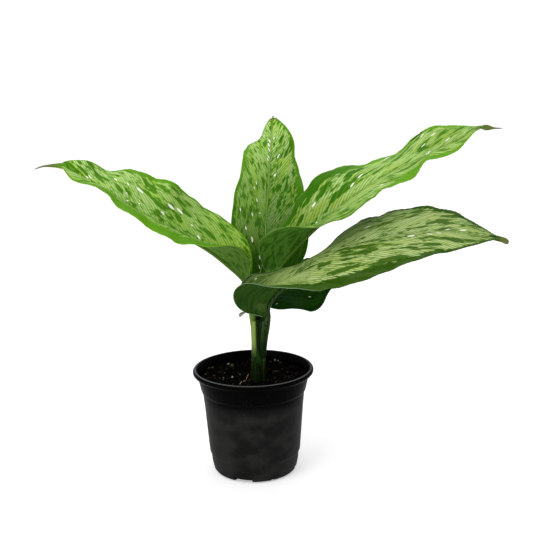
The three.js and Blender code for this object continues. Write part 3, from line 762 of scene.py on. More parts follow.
def leaf_material(name, look, lean, seed):
    """Pale field with fine lines along the side veins and darker blotches and dashes,
    whose ends step from lane to lane between the veins; then the plain margin, the grey
    sheen, the deep green of the base, the shade beside the rib, the rib and the white
    flecks. The underside is mottled more plainly in two greens. Over both sides go the
    thin rim, the olive end and the black nicks."""
    p = new_paint(name)
    vein, out, edge, half = (p.attribute(label) for label in ("vein", "out", "edge", "half"))
    fleck, spot, band, veil = (p.attribute(label) for label in ("fleck", "spot", "band", "veil"))
    deep, under, share, nick = (p.attribute(label) for label in ("deep", "under", "share", "nick"))
    # Millimetres across and along the side veins, and the lanes between them.
    slant = math.hypot(sum(lean) / 2, 1)
    across, along = vein / slant, out * slant
    layer = half * 3.7 + seed
    lane = (across / LANE).math("FLOOR")
    column = across + (lane * LANE - across) * look.comb
    ragged = along + p.chance(lane, half) * (3.5 * look.comb)
    # Masks: dark blotches with a ring of middle green, dashes, fine lines and warm areas.
    cells = p.noise(p.vector(column / look.blotch_width, ragged / look.blotch_length, layer))
    clumps = p.noise(p.vector(across * 0.08, along * 0.06, layer + 40.0), 1.0, 1.0)
    value = cells + (clumps - 0.5) * 0.3 + spot * look.spot_strength
    dark = p.step(value, look.blotch_level, look.blotch_level + 0.015)
    middle = p.step(value, look.blotch_level - 0.07, look.blotch_level - 0.045)
    narrow, short = 2.4 / look.blotch_width, 2 / look.blotch_length
    speck = p.vector(column * narrow, ragged * short, layer + 9.0)
    dashes = p.step(p.noise(speck, 1.0, 1.0) + spot * 0.06, 0.59, 0.63)
    streaks = p.noise(p.vector(across * 1.3, along * 0.04, layer + 20.0), 1.0, 2.0, 0.6)
    ridges = (across * (2 * math.pi / LINE_SPACING)).math("SINE")
    lines = p.step(ridges + (streaks - 0.5) * 3.5, 0.1, 0.6)
    warmth = p.step(clumps, 0.4, 0.65).math("MAXIMUM", 1 - p.step(share, 0.15, 0.45))
    # Upper side, painted from the field to the flecks.
    field = p.mix(warmth, look.light, look.warm)
    field = p.mix(lines * look.line_strength, field, look.streak)
    field = p.mix(p.step(streaks, 0.52, 0.7) * 0.35, field, look.streak)
    field = p.mix(middle * 0.7, field, look.middle)
    field = p.mix(dashes * 0.75, field, look.middle)
    blotched = p.mix(p.step(streaks, 0.4, 0.65) * 0.6, look.dark, look.middle)
    field = p.mix(dark * 0.95, field, blotched)
    reach = band * (p.chance(lane, half + 7.0) * 0.45 + 0.7)
    margin = 1 - p.step(edge - reach, -0.4, 0.4)
    edging = p.mix(p.step(share, 0.45, 0.65), look.margin, look.margin_tip)
    plain = p.mix(p.step(streaks, 0.45, 0.7) * 0.5, edging, look.dark)
    field = p.mix(margin * 0.93, field, plain)
    # Painted sheen: a grey-green wash standing in for light reflected off the blade, where listed.
    painted_sheen_colour = p.mix(p.step(streaks, 0.4, 0.65) * 0.55, look.veil, look.streak)
    field = p.mix(veil * (1 - margin) * (1 - dark * 0.7) * 0.8, field, painted_sheen_colour)
    # Painted shade: deep green where other leaves shade the base of the blade.
    field = p.mix(deep * 0.97, field, p.mix(p.step(cells, 0.5, 0.56) * 0.4, look.deep, look.dark))
    field = p.mix((1 - p.step(out, 0.6, 2.4)) * look.rib_shade, field, look.dark)
    field = p.mix((1 - p.step(out, 0.25, 0.75)) * look.rib_strength, field, look.rib)
    field = p.mix(p.step(fleck, 0.42, 0.6), field, FLECK_WHITE)
    # Underside, its two greens dark as painted shade, and what both sides share.
    back = p.mix(p.step(cells, 0.5, 0.56) * 0.7, look.under_light, look.under_dark)
    back = p.mix(p.step(streaks, 0.45, 0.7) * 0.3, back, look.under_light)
    colour = p.mix(under, field, back)
    # The thin rim: where its colour is pale it is a painted edge highlight.
    rim = p.mix(p.step(share, 0.3, 0.4), look.rim_base, look.rim)
    colour = p.mix((1 - p.step(edge, 0.2, 0.8)) * 0.6, colour, rim)
    colour = p.mix(p.step(share, 0.965, 0.985) * 0.7, colour, linear(DRY_OLIVE))
    colour = p.mix(p.step(nick, 0.3, 0.6), colour, linear(NICK_BLACK))
    roughness = 0.42 + under * 0.13 + streaks * 0.12
    return p.finish(colour, roughness, ridges * 0.5 + streaks, distance=0.0003, specular=0.035)


def stalk_material(name, look):
    """Green rod with fine lengthwise streaks and a colour of its own at its foot."""
    p = new_paint(name)
    streaks = p.noise(p.stretched(p.place(), 0.9, 0.9, 0.12))
    green = p.mix(p.step(streaks, 0.4, 0.62), look.stalk, look.under_light)
    green = p.mix((1 - p.step(p.attribute("share"), 0.05, 0.13)) * 0.9, green, look.stalk_foot)
    return p.finish(green, 0.45 + streaks * 0.1, streaks, bump=0.2, distance=0.0003, specular=0.1)


def tip_material(name, look):
    """Green where the drip tip leaves the blade, then brown-green, grey-brown and dry
    at its end."""
    p = new_paint(name)
    share = p.attribute("share")
    streaks = p.noise(p.stretched(p.place(), 0.3, 1.4, 1.4))
    colour = p.mix(p.step(share + (streaks - 0.5) * 0.3, 0.2, 0.6), look.margin, linear(DRY_OLIVE))
    colour = p.mix(p.step(share, 0.7, 0.95), colour, linear(DRY_GREY))
    return p.finish(colour, 0.5 + streaks * 0.2, streaks, distance=0.0004, specular=0.2)


# What can be changed on every leaf: label, description and value that it has unless the
# leaf has one of its own. Colours come first, then numbers with their unit or range.
SHARE, LENGTH = {"min": 0, "max": 1}, {"unit": "LENGTH"}
LEAF_COLOURS = {
    "light": ("Light field", "Pale green of the mottling", "c1de8c"),
    "warm": ("Warm field", "Yellower green of the mottling", "b4da5c"),
    "streak": ("Lines", "Thin lines along the side veins", "649818"),
    "middle": ("Middle green", "Green between light and dark", "60971a"),
    "dark": ("Blotches", "Dark green blotches", "3a7206"),
    # The deep green is painted shade, laid where other leaves shade a blade.
    "deep": ("Deep green", "Darkest green of the base", "184802"),
    "margin": ("Margin", "Plain green at the edge", "5c9a04"),
    # The sheen colour is painted reflected light, not the blade's own green.
    "veil": ("Sheen", "Grey-green where the blade looks smooth", "88b054"),
    "rib": ("Rib", "Line of the midrib", "8fb04c"),
    # Where pale, the rim colours are a painted edge highlight.
    "rim": ("Rim", "Thin line at the very edge", "8cb41c"),
    "rim_base": ("Rim at the base", "Thin line at the edge near the base", "8cb41c"),
    "margin_tip": ("Margin near the tip", "Plain green at the edge of the outer half", "5c9a04"),
    # The underside greens are darker than the leaf's own, as painted shade.
    "under_light": ("Underside, light", "Lighter green of the underside", "5a8030"),
    "under_dark": ("Underside, dark", "Darker green of the underside", "2c580c"),
    "stalk": ("Stalk", "Colour of the stalk and the rib's back", "5c7a26"),
    "stalk_foot": ("Stalk's foot", "Colour of the stalk where it leaves the stem", "142a08"),
}
LEAF_NUMBERS = {
    "blotch_level": ("Blotch level", "Lower covers more of the blade in blotches", 0.57, {}),
    "spot_strength": ("Spot strength", "How firmly the listed blotches are drawn", 0.3, {}),
    "blotch_width": ("Blotch width", "Size of the blotches across the side veins, in mm", 4.6, {}),
    "blotch_length": ("Blotch length", "Size of the blotches along the side veins, in mm", 7.5, {}),
    "comb": ("Comb", "How far blotches end in steps between side veins", 0.2, SHARE),
    "rib_shade": ("Rib shade", "How dark the blade is close beside the rib", 0.2, SHARE),
    "line_strength": ("Line strength", "Depth of the lines along the side veins", 0.65, {}),
    "rib_strength": ("Rib strength", "How clearly the midrib is drawn", 0.5, {}),
    "thickness": ("Thickness", "Thickness of the blade beside its rib", 0.0008, LENGTH),
    "wave_height": ("Wave height", "Height of the waves of the margin", 0.0011, LENGTH),
    "wave_length": ("Wave length", "Length of the waves of the margin", 0.025, LENGTH),
    "vein_relief": ("Vein relief", "Height of the waves along the side veins", 0.00013, LENGTH),
}


def leaf_look(name, words, **own):
    """Property group of one leaf: everything listed above, with the leaf's own values."""
    fields = {}
    for key, (label, description, code) in LEAF_COLOURS.items():
        fields[key] = tint(label, description, own.get(key, code))
    for key, (label, description, default, more) in LEAF_NUMBERS.items():
        fields[key] = amount(label, description, own.get(key, default), **more)
    return type(name, (bpy.types.PropertyGroup,), {"__doc__": words, "__annotations__": fields})


LeftLook = leaf_look(
    "LeftLook", "Leaf to the left: bright, with wide plain margins",
    stalk_foot="6c8a36", blotch_width=4, blotch_length=5.5,
)
CentreLook = leaf_look(
    "CentreLook", "Upright leaf: finer mottling and a clear pale rib",
    light="bedd88", dark="306a08", margin="4a8408", rib="94b45c", rim="6a9420", rim_base="4a7a18",
    blotch_width=2.8, blotch_length=5, rib_shade=0.45, rib_strength=0.85,
)
UpperRightLook = leaf_look(
    "UpperRightLook", "Leaf up to the right: warm at its base, with long blotches at the far margin",
    warm="b0c856", dark="2f6a04", margin="3a7604", veil="94b464", rib="9c9c3c", rim_base="7c9c48",
    margin_tip="62a010", under_light="5c8a34", under_dark="245e08",
    spot_strength=0.42, blotch_width=3.6, blotch_length=9, comb=0.8,
)
# Its greyer, paler field and sheen colours are painted sheen, the light reflected off the blade.
LowerRightLook = leaf_look(
    "LowerRightLook", "Front leaf to the right: greyer and paler, with a dark margin",
    light="b8cc84", warm="aec46c", streak="50721c", middle="567a20", dark="2e5406", deep="1c3a0a",
    margin="2a4e04", veil="a6ba80", rib="98ac70", rim="3c5c24", rim_base="8aa67c",
    margin_tip="2c500a", under_light="2c4a16", under_dark="1a360c", stalk="13290a",
    stalk_foot="13290a", spot_strength=0.42, blotch_width=4.4, blotch_length=5.5, comb=1,
    rib_shade=0.05,
)
# Its dark greens all over are painted shade: the leaf lies in the shade of the leaves above it.
BackLook = leaf_look(
    "BackLook", "Low leaf at the back: deep green all over",
    light="4f8a34", warm="4a8424", streak="2c6412", middle="2a5f10", dark="1a4a08", deep="103604",
    margin="1a4406", rim="5c7f50", rim_base="5c7f50", margin_tip="1a4406", under_light="163806",
    under_dark="0a2602", stalk="2c4814",
)


def make_fibre(material):
    """Dry curled thread at the foot of the lower right leaf: a thin rod along a hook
    that swells into a small blade at its end."""
    t = np.linspace(0, 1, 40)
    thick = 0.5 + 1.1 * np.sin(math.pi * np.clip((t - 0.5) / 0.52, 0, 1))
    return new_object("dry_fibre", *tube(smooth(DRY_FIBRE, t), thick, 10, flat=0.6), material)


def fibre_material():
    """Grey-green dry fibre, streaked."""
    p = new_paint("dry_fibre")
    streaks = p.noise(p.place(), 1.2, 3.0)
    colour = p.mix(p.step(streaks, 0.4, 0.62), linear(FIBRE_PALE), linear(FIBRE_DARK))
    return p.finish(colour, 0.75, streaks, specular=0.2)


class PLANT_OT_leaves(bpy.types.Operator):
    """Make the five patterned leaves with their stalks, ribs and drip tips"""

    bl_idname = "plant.leaves"
    bl_label = "Leaves"

    def execute(self, context):
        for number, (key, leaf) in enumerate(LEAVES.items()):
            look = getattr(context.scene, f"plant_leaf_{key}")
            seed = PATTERN_START + PATTERN_STEP * number
            skin = leaf_material(f"leaf_{key}_skin", look, leaf["lean"], seed)
            stalk_paint = stalk_material(f"leaf_{key}_stalk", look)
            tip_paint = tip_material(f"leaf_{key}_tip", look)
            finish_piece(make_blade(f"blade_{key}", key, look, skin), "leaf", leaf["node"])
            finish_piece(make_stalk(f"stalk_{key}", leaf, stalk_paint), "leaf", leaf["node"])
            finish_piece(make_tip(f"tip_{key}", leaf, tip_paint), "leaf", leaf["node"])
        finish_piece(make_fibre(fibre_material()), "leaf", "leaf_lower_right")
        return {"FINISHED"}


# ------------------------------------------------------------------ stem


class StemLook(bpy.types.PropertyGroup):
    """Colours and folds of the stem."""

    green: tint("Green", "Main green of the sheaths", "1d3c0a")
    dark: tint("Dark green", "Shaded green between the sheaths", "0b1c04")
    pale: tint("Pale green", "Pale strip of the outer sheath", "86a34a")
    edge: tint("Sheath edge", "Thin paler line where a sheath ends", "4c6b2c")
    base: tint("Base", "Brown-purple tint near the soil", "130d0b")
    fold: amount("Fold", "Depth of the sheaths' overlaps", 0.0006, unit="LENGTH")


def make_stem(look, material):
    """Upright cane: its middle and its radius change in straight lines from one listed
    ring to the next. Three shallow folds turn slowly as they climb, two lapped edges run
    up it with a crisp step each, and it swells a little at the listed nodes."""
    table = np.array(STEM_RINGS, float)
    z = np.linspace(table[0, 2], table[-1, 2], STEM_ROWS)[:, None]
    angle = round_angles(STEM_SIDES)[None, :]
    x, y, radius = (np.interp(z, table[:, 2], table[:, k]) for k in (0, 1, 3))
    fold = 1 - 0.05 * (1 + np.cos(3 * angle + 0.6 + z * 0.01))
    turn = angle + 1.35 + 0.004 * (z - 100)
    lap = (turn / (2 * math.pi) * 2) % 1
    edge = look.fold / MM * (lap**6 - 0.5 * np.exp(-(((lap - 0.03) / 0.03) ** 2)))
    nodes = NODE_SWELL * sum(np.exp(-(((z - at) / width) ** 2)) for at, width in STEM_NODES)
    out = radius * fold + np.clip(edge, -0.5, 0.2) + nodes - 0.1
    rings = np.stack([x + out * np.cos(angle), y + out * np.sin(angle), z + 0 * angle], -1)
    middle = np.hstack([x, y, z])
    return new_object("stem_cane", *closed_rings(rings, middle[0], middle[-1]), material)


def stem_material(look):
    """Lengthwise streaks of green and dark green, a pale strip at the left of the front
    above the middle, a thin paler line at its right, and a brown tint at the soil."""
    p = new_paint("stem_skin")
    place = p.place()
    x, y, z = p.parts(place)
    streaks = p.noise(p.stretched(place, 0.75, 0.75, 0.06), 1.0, 3.0, 0.6)
    spots = p.noise(place, 0.5, 2.0)
    front = 1 - p.step(y, 0.5, 2.0)
    colour = p.mix(p.step(streaks, 0.42, 0.58), look.dark, look.green)
    climb = p.step(z + spots * 10, 108, 126)
    strip = p.step(x, -4.0, -2.4) * (1 - p.step(x + streaks * 1.4, 2.6, 4.6))
    colour = p.mix(strip * front * climb * 0.95, colour, look.pale)
    seam = p.step(x, 8.6, 9.2) * (1 - p.step(x, 9.6, 10.4))
    colour = p.mix(seam * front * 0.7, colour, look.edge)
    low = 1 - p.step(z + spots * 12, 96, 112)
    colour = p.mix(low * 0.6, colour, look.base)
    return p.finish(colour, 0.42 + streaks * 0.15, streaks, specular=0.08)


class PLANT_OT_stem(bpy.types.Operator):
    """Make the short cane of lapped leaf sheaths"""

    bl_idname = "plant.stem"
    bl_label = "Stem"

    def execute(self, context):
        look = context.scene.plant_stem
        finish_piece(make_stem(look, stem_material(look)), "stem", "stem")
        return {"FINISHED"}


# ------------------------------------------------------------------ pot


class PotLook(bpy.types.PropertyGroup):
    """Colours and finish of the nursery pot."""

    colour: tint("Plastic", "Black of the plastic", "020302")
    dust: tint("Dust", "Grey of the dusty smudges", "232522")
    # This grey paints a highlight along the top of the lip; the pale specks take the same grey.
    lip_highlight_and_specks: tint("Worn lip", "Grey of the rubbed lip", "606260")
    roughness: amount("Roughness", "Roughness of clean plastic", 0.32, min=0, max=1)
    sides: IntProperty(name="Sides", description="Facets round the pot", default=200, min=40, max=360)


def rounded(profile, most=0.5):
    """Each corner replaced by a short quadratic curve that starts and ends half a
    millimetre from it, or a third of the way along a shorter edge; the ends are kept."""
    line = np.array(profile, float)
    corner, before, after = line[1:-1], line[:-2], line[2:]

    def towards(target):
        step = target - corner
        length = np.linalg.norm(step, axis=1, keepdims=True)
        return corner + step * np.minimum(most / length, 1 / 3)

    a, b = towards(before), towards(after)
    curve = [(1 - t) ** 2 * a + 2 * t * (1 - t) * corner + t**2 * b for t in (0, 0.25, 0.5, 0.75, 1)]
    return np.vstack([line[:1], np.stack(curve, 1).reshape(-1, 2), line[-1:]])


def around(radius, angle, z):
    """Points at a radius, an angle round the Z axis counted from the front, and a height."""
    return np.stack([radius * np.sin(angle), -radius * np.cos(angle), z + 0 * angle], -1)


def turned(profile, sides):
    """Surface of revolution: each point of the profile swept round the Z axis. The first
    and the last lie on the axis and become the poles."""
    body = profile[1:-1]
    rings = around(body[:, :1], round_angles(sides), body[:, 1:])
    return closed_rings(rings, [0, 0, profile[0, 1]], [0, 0, profile[-1, 1]])


def notch_block(start, stop, height):
    """Ring sector from inside the foot to well outside it, up to the notch's height."""
    steps = 6
    angle = np.radians(np.linspace(start, stop, steps))
    reach = [(radius, z) for radius in (NOTCH_INNER, NOTCH_OUTER) for z in (NOTCH_LOWEST, height)]
    points = np.vstack([around(radius, angle, z) for radius, z in reach])
    i = np.arange(steps - 1)
    faces = []
    for a, b in ((0, 1), (1, 3), (3, 2), (2, 0)):
        a, b = a * steps + i, b * steps + i
        faces += np.stack([a, a + 1, b + 1, b], 1).tolist()
    first = [0, steps, 3 * steps, 2 * steps]
    last = [steps - 1, 3 * steps - 1, 4 * steps - 1, 2 * steps - 1]
    return points, [*faces, first, last]


def make_pot(look, material):
    """Turned shell with every profile corner rounded, and the notches cut from its foot."""
    profile = np.vstack([rounded(POT_OUTSIDE), rounded(POT_INSIDE)])
    pot = new_object("nursery_pot", *turned(profile, look.sides), material)
    points, faces = [], []
    for notch in POT_NOTCHES:
        block_points, block_faces = notch_block(*notch)
        faces += (np.array(block_faces) + sum(map(len, points))).tolist()
        points.append(block_points)
    cutter = new_object("notch_cutter", np.vstack(points), faces, material)
    face_outwards(pot)
    face_outwards(cutter)
    cut = pot.modifiers.new("notches", "BOOLEAN")
    cut.operation, cut.solver, cut.object = "DIFFERENCE", "EXACT", cutter
    graph = bpy.context.evaluated_depsgraph_get()
    mesh = bpy.data.meshes.new_from_object(pot.evaluated_get(graph))
    pot.modifiers.clear()
    pot.data = mesh
    mesh.shade_smooth()
    mesh.set_sharp_from_angle(angle=math.radians(35))
    bpy.data.objects.remove(cutter)
    return pot


def pot_material(look):
    """Black moulded plastic: cloudy grey smudges and scuffs on the wall, fine turned
    lines, a blacker collar and inside, pale specks and a rubbed lip."""
    p = new_paint("pot_plastic")
    place = p.place()
    z = p.parts(place)[2]
    clouds = p.noise(p.stretched(place, 1.0, 1.0, 1.4), 0.05, 3.0, 0.55)
    scuffs = p.noise(p.stretched(place, 0.3, 0.3, 0.08), 1.0, 3.0, 0.65)
    grain = p.noise(place, 2.6, 2.0, 0.6)
    specks = p.step(p.noise(place, 0.9, 1.0), 0.72, 0.76)
    wall = 1 - p.step(z + clouds * 10, 66, 80)
    smudge = p.step(clouds, 0.36, 0.66) * 0.6 + p.step(scuffs, 0.56, 0.72) * 0.15 + 0.25
    dust = smudge * wall
    colour = p.mix(dust, look.colour, look.dust)
    # Painted highlight along the top of the lip, and pale specks, both in the same grey.
    lip = p.step(z + grain * 0.6, 94.9, 95.2)
    colour = p.mix(lip * 0.85 + specks * 0.2, colour, look.lip_highlight_and_specks)
    lines = (z * 9.0).math("SINE") * 0.12
    roughness = look.roughness + dust * 0.25 + grain * 0.06
    relief = grain * 0.6 + lines + scuffs * 0.4
    return p.finish(
        colour, roughness, relief, bump=0.2, distance=0.0003, specular=0.012,
        coat=wall * 0.08, coat_roughness=0.3,
    )


class PLANT_OT_pot(bpy.types.Operator):
    """Make the round black nursery pot"""

    bl_idname = "plant.pot"
    bl_label = "Pot"

    def execute(self, context):
        look = context.scene.plant_pot
        finish_piece(make_pot(look, pot_material(look)), "pot", "pot")
        return {"FINISHED"}


# ------------------------------------------------------------------ soil


class SoilLook(bpy.types.PropertyGroup):
    """Colours and coarseness of the potting soil."""

    # The soil's near-black is partly painted shade, from the pot and leaves above it.
    dark: tint("Soil", "Dark peat", "010101")
    brown: tint("Lumps", "Browner lumps of peat", "0a0806")
    crumbs: IntProperty(
        name="Crumbs", description="Number of loose crumbs on the surface", default=2300, min=0,
        max=4000,
    )
    crumb_size: amount("Crumb size", "Radius of the largest crumbs", 0.0011, unit="LENGTH")


def soil_height(x, y):
    """Surface of the soil: it climbs with the square of the radius, with shallow lumps."""
    lumps = np.sin(x * 0.31 + 1.3) * np.cos(y * 0.27 - 0.4) + 0.5 * np.sin(x * 0.17 - y * 0.23)
    return SOIL_MIDDLE + SOIL_RISE * (x * x + y * y) + SOIL_LUMP * lumps * 0.6


def value_noise(x, y, seed):
    """Smooth noise from -1 to 1: random values on a lattice of unit squares, blended
    between by 3 a^2 - 2 a^3 in each direction."""
    table = np.random.default_rng(seed).uniform(-1, 1, (LATTICE, LATTICE))
    i, j = np.floor(x).astype(int), np.floor(y).astype(int)
    a, b = x - i, y - j
    a, b = a * a * (3 - 2 * a), b * b * (3 - 2 * b)
    i, j = i % LATTICE, j % LATTICE
    k, m = (i + 1) % LATTICE, (j + 1) % LATTICE
    near = table[i, j] * (1 - a) + table[k, j] * a
    far = table[i, m] * (1 - a) + table[k, m] * a
    return near * (1 - b) + far * b


def make_soil_bed(material):
    """Filling of the pot: rings that follow the inner wall up, then rings that close in
    over the top, lifted by three sizes of noise that fade out at the wall."""
    angle = round_angles(SOIL_SIDES)
    wall = np.array(SOIL_WALL)
    side = around(wall[1:, :1], angle, wall[1:, 1:])
    outermost, first, last = SOIL_TOP
    radii = np.concatenate([[outermost], np.linspace(first, last, SOIL_RINGS)])[:, None]
    x, y = radii * np.sin(angle), -radii * np.cos(angle)
    rough = sum(height * value_noise(x / size, y / size, seed) for height, size, seed in SOIL_NOISE)
    fade = np.clip((SOIL_EDGE - radii) / 1.5, 0, 1)
    top = np.stack([x, y, soil_height(x, y) + rough * fade], -1)
    poles = [0, 0, wall[0, 1]], [0, 0, soil_height(0.0, 0.0)]
    return new_object("soil_bed", *closed_rings(np.concatenate([side, top]), *poles), material)


def lump_template(divisions):
    """Points and triangles of a round lump of radius 1."""
    mesh = bmesh.new()
    bmesh.ops.create_icosphere(mesh, subdivisions=divisions, radius=1)
    points = np.array([v.co for v in mesh.verts])
    faces = np.array([[v.index for v in f.verts] for f in mesh.faces])
    mesh.free()
    return points, faces


def make_lumps(name, places, radii, stretch, divisions, material, seed):
    """Many irregular lumps in one mesh: each is a round one with every point moved in or
    out at random, stretched, turned at random, and set part sunk on the soil."""
    random = np.random.default_rng(seed)
    template, triangles = lump_template(divisions)
    count = len(places)
    shape = template[None] * (1 + random.uniform(*LUMP_UNEVEN, (count, len(template), 1)))
    shape = shape * random.uniform(*stretch, (count, 1, 3)) * radii[:, None, None]
    spin, tilt = random.uniform(0, 2 * math.pi, count), random.normal(0, 0.5, count)
    cos_s, sin_s = np.cos(spin)[:, None], np.sin(spin)[:, None]
    cos_t, sin_t = np.cos(tilt)[:, None], np.sin(tilt)[:, None]
    x, y, z = shape[..., 0], shape[..., 1], shape[..., 2]
    y, z = y * cos_t - z * sin_t, y * sin_t + z * cos_t
    x, y = x * cos_s - y * sin_s, x * sin_s + y * cos_s
    ground = soil_height(places[:, 0], places[:, 1])
    lift = ground - z.min(axis=1) - LUMP_SINK * radii
    points = np.stack([x + places[:, :1], y + places[:, 1:2], z + lift[:, None]], -1).reshape(-1, 3)
    faces = (triangles[None] + (np.arange(count) * len(template))[:, None, None]).reshape(-1, 3)
    obj = new_object(name, points, faces, material, smooth_shading=False)
    add_number(obj, "tint", np.repeat(random.uniform(0, 1, count), len(template)))
    return obj


def soil_material(look):
    """Damp peat: near black, browner on its lumps."""
    p = new_paint("soil_peat")
    place = p.place()
    grain = p.noise(place, 0.8, 4.0, 0.7)
    fine = p.noise(place, 3.0, 2.0)
    colour = p.mix(p.step(grain, 0.52, 0.75), look.dark, look.brown)
    relief = grain + fine * 0.5
    return p.finish(colour, 0.8 + fine * 0.2, relief, bump=0.6, distance=0.001, specular=0.02)


def grain_material(name, shades):
    """Loose grains. Each takes the shade after the last share that its own number
    passes, and all are mottled with a darker first shade."""
    p = new_paint(name)
    number = p.attribute("tint")
    fine = p.noise(p.place(), 1.6, 3.0, 0.6)
    colour = shades[0][1]
    for start, shade in shades[1:]:
        colour = p.mix(p.step(number, start - 0.01, start + 0.01), colour, shade)
    colour = p.mix(p.step(fine, 0.45, 0.7) * 0.4, colour, tuple(0.4 * c for c in shades[0][1]))
    return p.finish(colour, 0.75 + fine * 0.2, fine, bump=0.5, distance=0.0006, specular=0.05)


def make_root(material):
    """Fine root lying over the soil: a thin rod along a wavy line that tapers."""
    t = np.linspace(0, 1, 40)
    line = smooth(ROOT_LINE, t)
    path = np.column_stack([line, soil_height(line[:, 0], line[:, 1]) + 0.5 + 0.4 * np.sin(9 * t)])
    return new_object("root_strand", *tube(path, 0.5 - 0.25 * t, 8), material)


def root_material():
    """Pale root with darker, browner stretches."""
    p = new_paint("root_pale")
    fine = p.noise(p.place(), 0.7, 2.0)
    colour = p.mix(p.step(fine, 0.4, 0.6), linear(ROOT_PALE), linear(ROOT_BROWN))
    return p.finish(colour, 0.7, fine, specular=0.2)


class PLANT_OT_soil(bpy.types.Operator):
    """Make the potting soil with its crumbs, perlite, bark and fine root"""

    bl_idname = "plant.soil"
    bl_label = "Soil"

    def execute(self, context):
        look = context.scene.plant_soil
        random = np.random.default_rng(PLACE_SEED)
        finish_piece(make_soil_bed(soil_material(look)), "soil", "soil")
        angle = random.uniform(0, 2 * math.pi, look.crumbs)
        inner, outer = CRUMB_RING
        out = np.sqrt(random.uniform(inner**2, outer**2, look.crumbs))
        places = np.stack([out * np.cos(angle), out * np.sin(angle)], 1)
        places += STEM_MIDDLE * np.clip(1 - out / 30, 0, 1)[:, None]
        radii = look.crumb_size / MM * random.uniform(0.22, 1, look.crumbs) ** 1.6
        skin = grain_material("soil_crumb", [(start, linear(code)) for start, code in CRUMB_SHADES])
        crumbs = make_lumps("soil_crumbs", places, radii, (0.55, 1.15), 1, skin, CRUMB_SEED)
        finish_piece(crumbs, "soil", "soil")
        white = np.array(PERLITE)
        skin = grain_material("perlite_white", [(start, linear(code)) for start, code in PERLITE_SHADES])
        perlite = make_lumps("perlite", white[:, :2], white[:, 2], (0.6, 1.1), 2, skin, PERLITE_SEED)
        finish_piece(perlite, "soil", "soil")
        chips = np.array(BARK)
        for kind, (letter, code) in enumerate(BARK_SHADES.items()):
            mine, seed = chips[chips[:, 3] == kind], BARK_SEED + kind
            name, colour = f"bark_{letter}", linear(code)
            skin = grain_material(name, [(0, colour), (0.6, tuple(0.6 * c for c in colour))])
            bark = make_lumps(name, mine[:, :2], mine[:, 2], (0.4, 1.15), 2, skin, seed)
            finish_piece(bark, "soil", "soil")
        finish_piece(make_root(root_material()), "soil", "soil")
        return {"FINISHED"}


# ------------------------------------------------------------------ stage


class StageLook(bpy.types.PropertyGroup):
    """Floor, lights and camera."""

    floor: FloatVectorProperty(
        name="Floor", description="Colour of the plain floor", subtype="COLOR", default=(0.8, 0.8, 0.8)
    )
    glow: amount("Floor glow", "Light the floor gives off itself", 0.42)
    low: amount("Light at the horizon", "Brightness of the surround, low down", 0.3)
    rise: amount("Light from above", "What is added straight overhead", 0.7)
    key: amount("Key light", "Power of the large light at the front left", 9.0, unit="POWER")
    fill: amount("Top light", "Power of the light above and behind", 5.0, unit="POWER")


def add_area(name, place, target, size, power):
    """Square soft light that faces a point."""
    light = bpy.data.lights.new(name, "AREA")
    light.size, light.energy = size, power
    obj = bpy.data.objects.new(name, light)
    bpy.context.scene.collection.objects.link(obj)
    obj.location = place
    obj.rotation_euler = (Vector(target) - Vector(place)).to_track_quat("-Z", "Y").to_euler()


def studio_world(look):
    """Even white where the camera looks at it; as a light, brighter the higher it is."""
    p = Paint(bpy.data.worlds.new("studio"))
    direction = p.node("ShaderNodeTexCoord", out="Generated")
    height = p.parts(direction)[2]
    strength = height.math("MAXIMUM", 0.0) * look.rise + look.low
    lit = p.node("ShaderNodeBackground", {}, {"Color": (1.0, 1.0, 1.0), "Strength": strength})
    seen = p.node("ShaderNodeBackground", {}, {"Color": (1.0, 1.0, 1.0), "Strength": 1.0})
    camera_ray = p.node("ShaderNodeLightPath", out="Is Camera Ray")
    mixed = p.node("ShaderNodeMixShader", {}, {0: camera_ray, 1: lit, 2: seen})
    return p.close("ShaderNodeOutputWorld", mixed)


def add_camera():
    """Camera at the front, looking down a little and turned slightly about its view."""
    tilt, roll = math.radians(CAMERA_TILT), math.radians(CAMERA_ROLL)
    back = Vector((0, -math.cos(tilt), math.sin(tilt)))
    up = Vector((0, math.sin(tilt), math.cos(tilt)))
    right = Vector((1, 0, 0))
    x_axis = right * math.cos(roll) + up * math.sin(roll)
    y_axis = up * math.cos(roll) - right * math.sin(roll)
    data = bpy.data.cameras.new("camera")
    data.sensor_width, data.lens = 36, CAMERA_LENS
    camera = bpy.data.objects.new("camera", data)
    turn = Matrix((x_axis, y_axis, back)).transposed()
    camera.matrix_world = Matrix.Translation(Vector(CAMERA_AIM) + back * CAMERA_AWAY) @ turn.to_4x4()
    bpy.context.scene.collection.objects.link(camera)
    bpy.context.scene.camera = camera


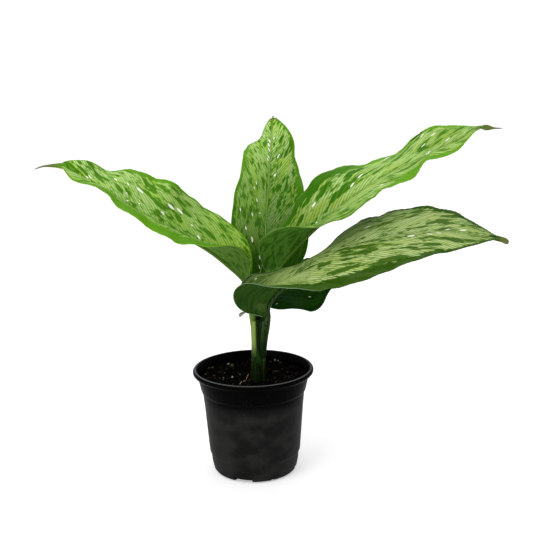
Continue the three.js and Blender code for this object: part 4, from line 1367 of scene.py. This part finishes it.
class PLANT_OT_stage(bpy.types.Operator):
    """Set up the floor, the soft lights, the white surround and the camera"""

    bl_idname = "plant.stage"
    bl_label = "Stage"

    def execute(self, context):
        scene, look = context.scene, context.scene.plant_stage
        half, z = FLOOR_HALF, FLOOR_LEVEL
        corners = [[-half, -half, z], [half, -half, z], [half, half, z], [-half, half, z]]
        white = (1.0, 1.0, 1.0)
        paint = new_paint("floor_white")
        plain = paint.finish(tuple(look.floor), 0.9, specular=0.0, emission=white, glow=look.glow)
        new_object("floor", corners, [[0, 1, 2, 3]], plain)
        scene.world = studio_world(look)
        scene.view_settings.view_transform = "Standard"
        add_area("key_light", *LIGHTS["key"], look.key)
        add_area("top_light", *LIGHTS["fill"], look.fill)
        add_camera()
        return {"FINISHED"}


# ------------------------------------------------------------------ panel and run


class PLANT_PT_panel(bpy.types.Panel):
    """Buttons for the pieces of the potted plant"""

    bl_label = "Potted dieffenbachia"
    bl_idname = "PLANT_PT_panel"
    bl_space_type = "VIEW_3D"
    bl_region_type = "UI"
    bl_category = "Plant"

    def draw(self, context):
        for kind in OPERATORS:
            self.layout.operator(kind.bl_idname)


LOOKS = {
    "plant_stage": StageLook, "plant_pot": PotLook, "plant_soil": SoilLook, "plant_stem": StemLook,
    "plant_leaf_left": LeftLook, "plant_leaf_centre": CentreLook,
    "plant_leaf_upper_right": UpperRightLook, "plant_leaf_lower_right": LowerRightLook,
    "plant_leaf_back": BackLook,
}
OPERATORS = (PLANT_OT_stage, PLANT_OT_pot, PLANT_OT_soil, PLANT_OT_stem, PLANT_OT_leaves)
CLASSES = (*LOOKS.values(), *OPERATORS, PLANT_PT_panel)


def register():
    for kind in CLASSES:
        bpy.utils.register_class(kind)
    for name, kind in LOOKS.items():
        setattr(bpy.types.Scene, name, PointerProperty(type=kind))


def unregister():
    for name in LOOKS:
        delattr(bpy.types.Scene, name)
    for kind in reversed(CLASSES):
        bpy.utils.unregister_class(kind)


def main():
    register()
    bpy.ops.plant.stage()
    bpy.ops.plant.pot()
    bpy.ops.plant.soil()
    bpy.ops.plant.stem()
    bpy.ops.plant.leaves()
    bpy.context.view_layer.update()


if __name__ == "__main__":
    main()
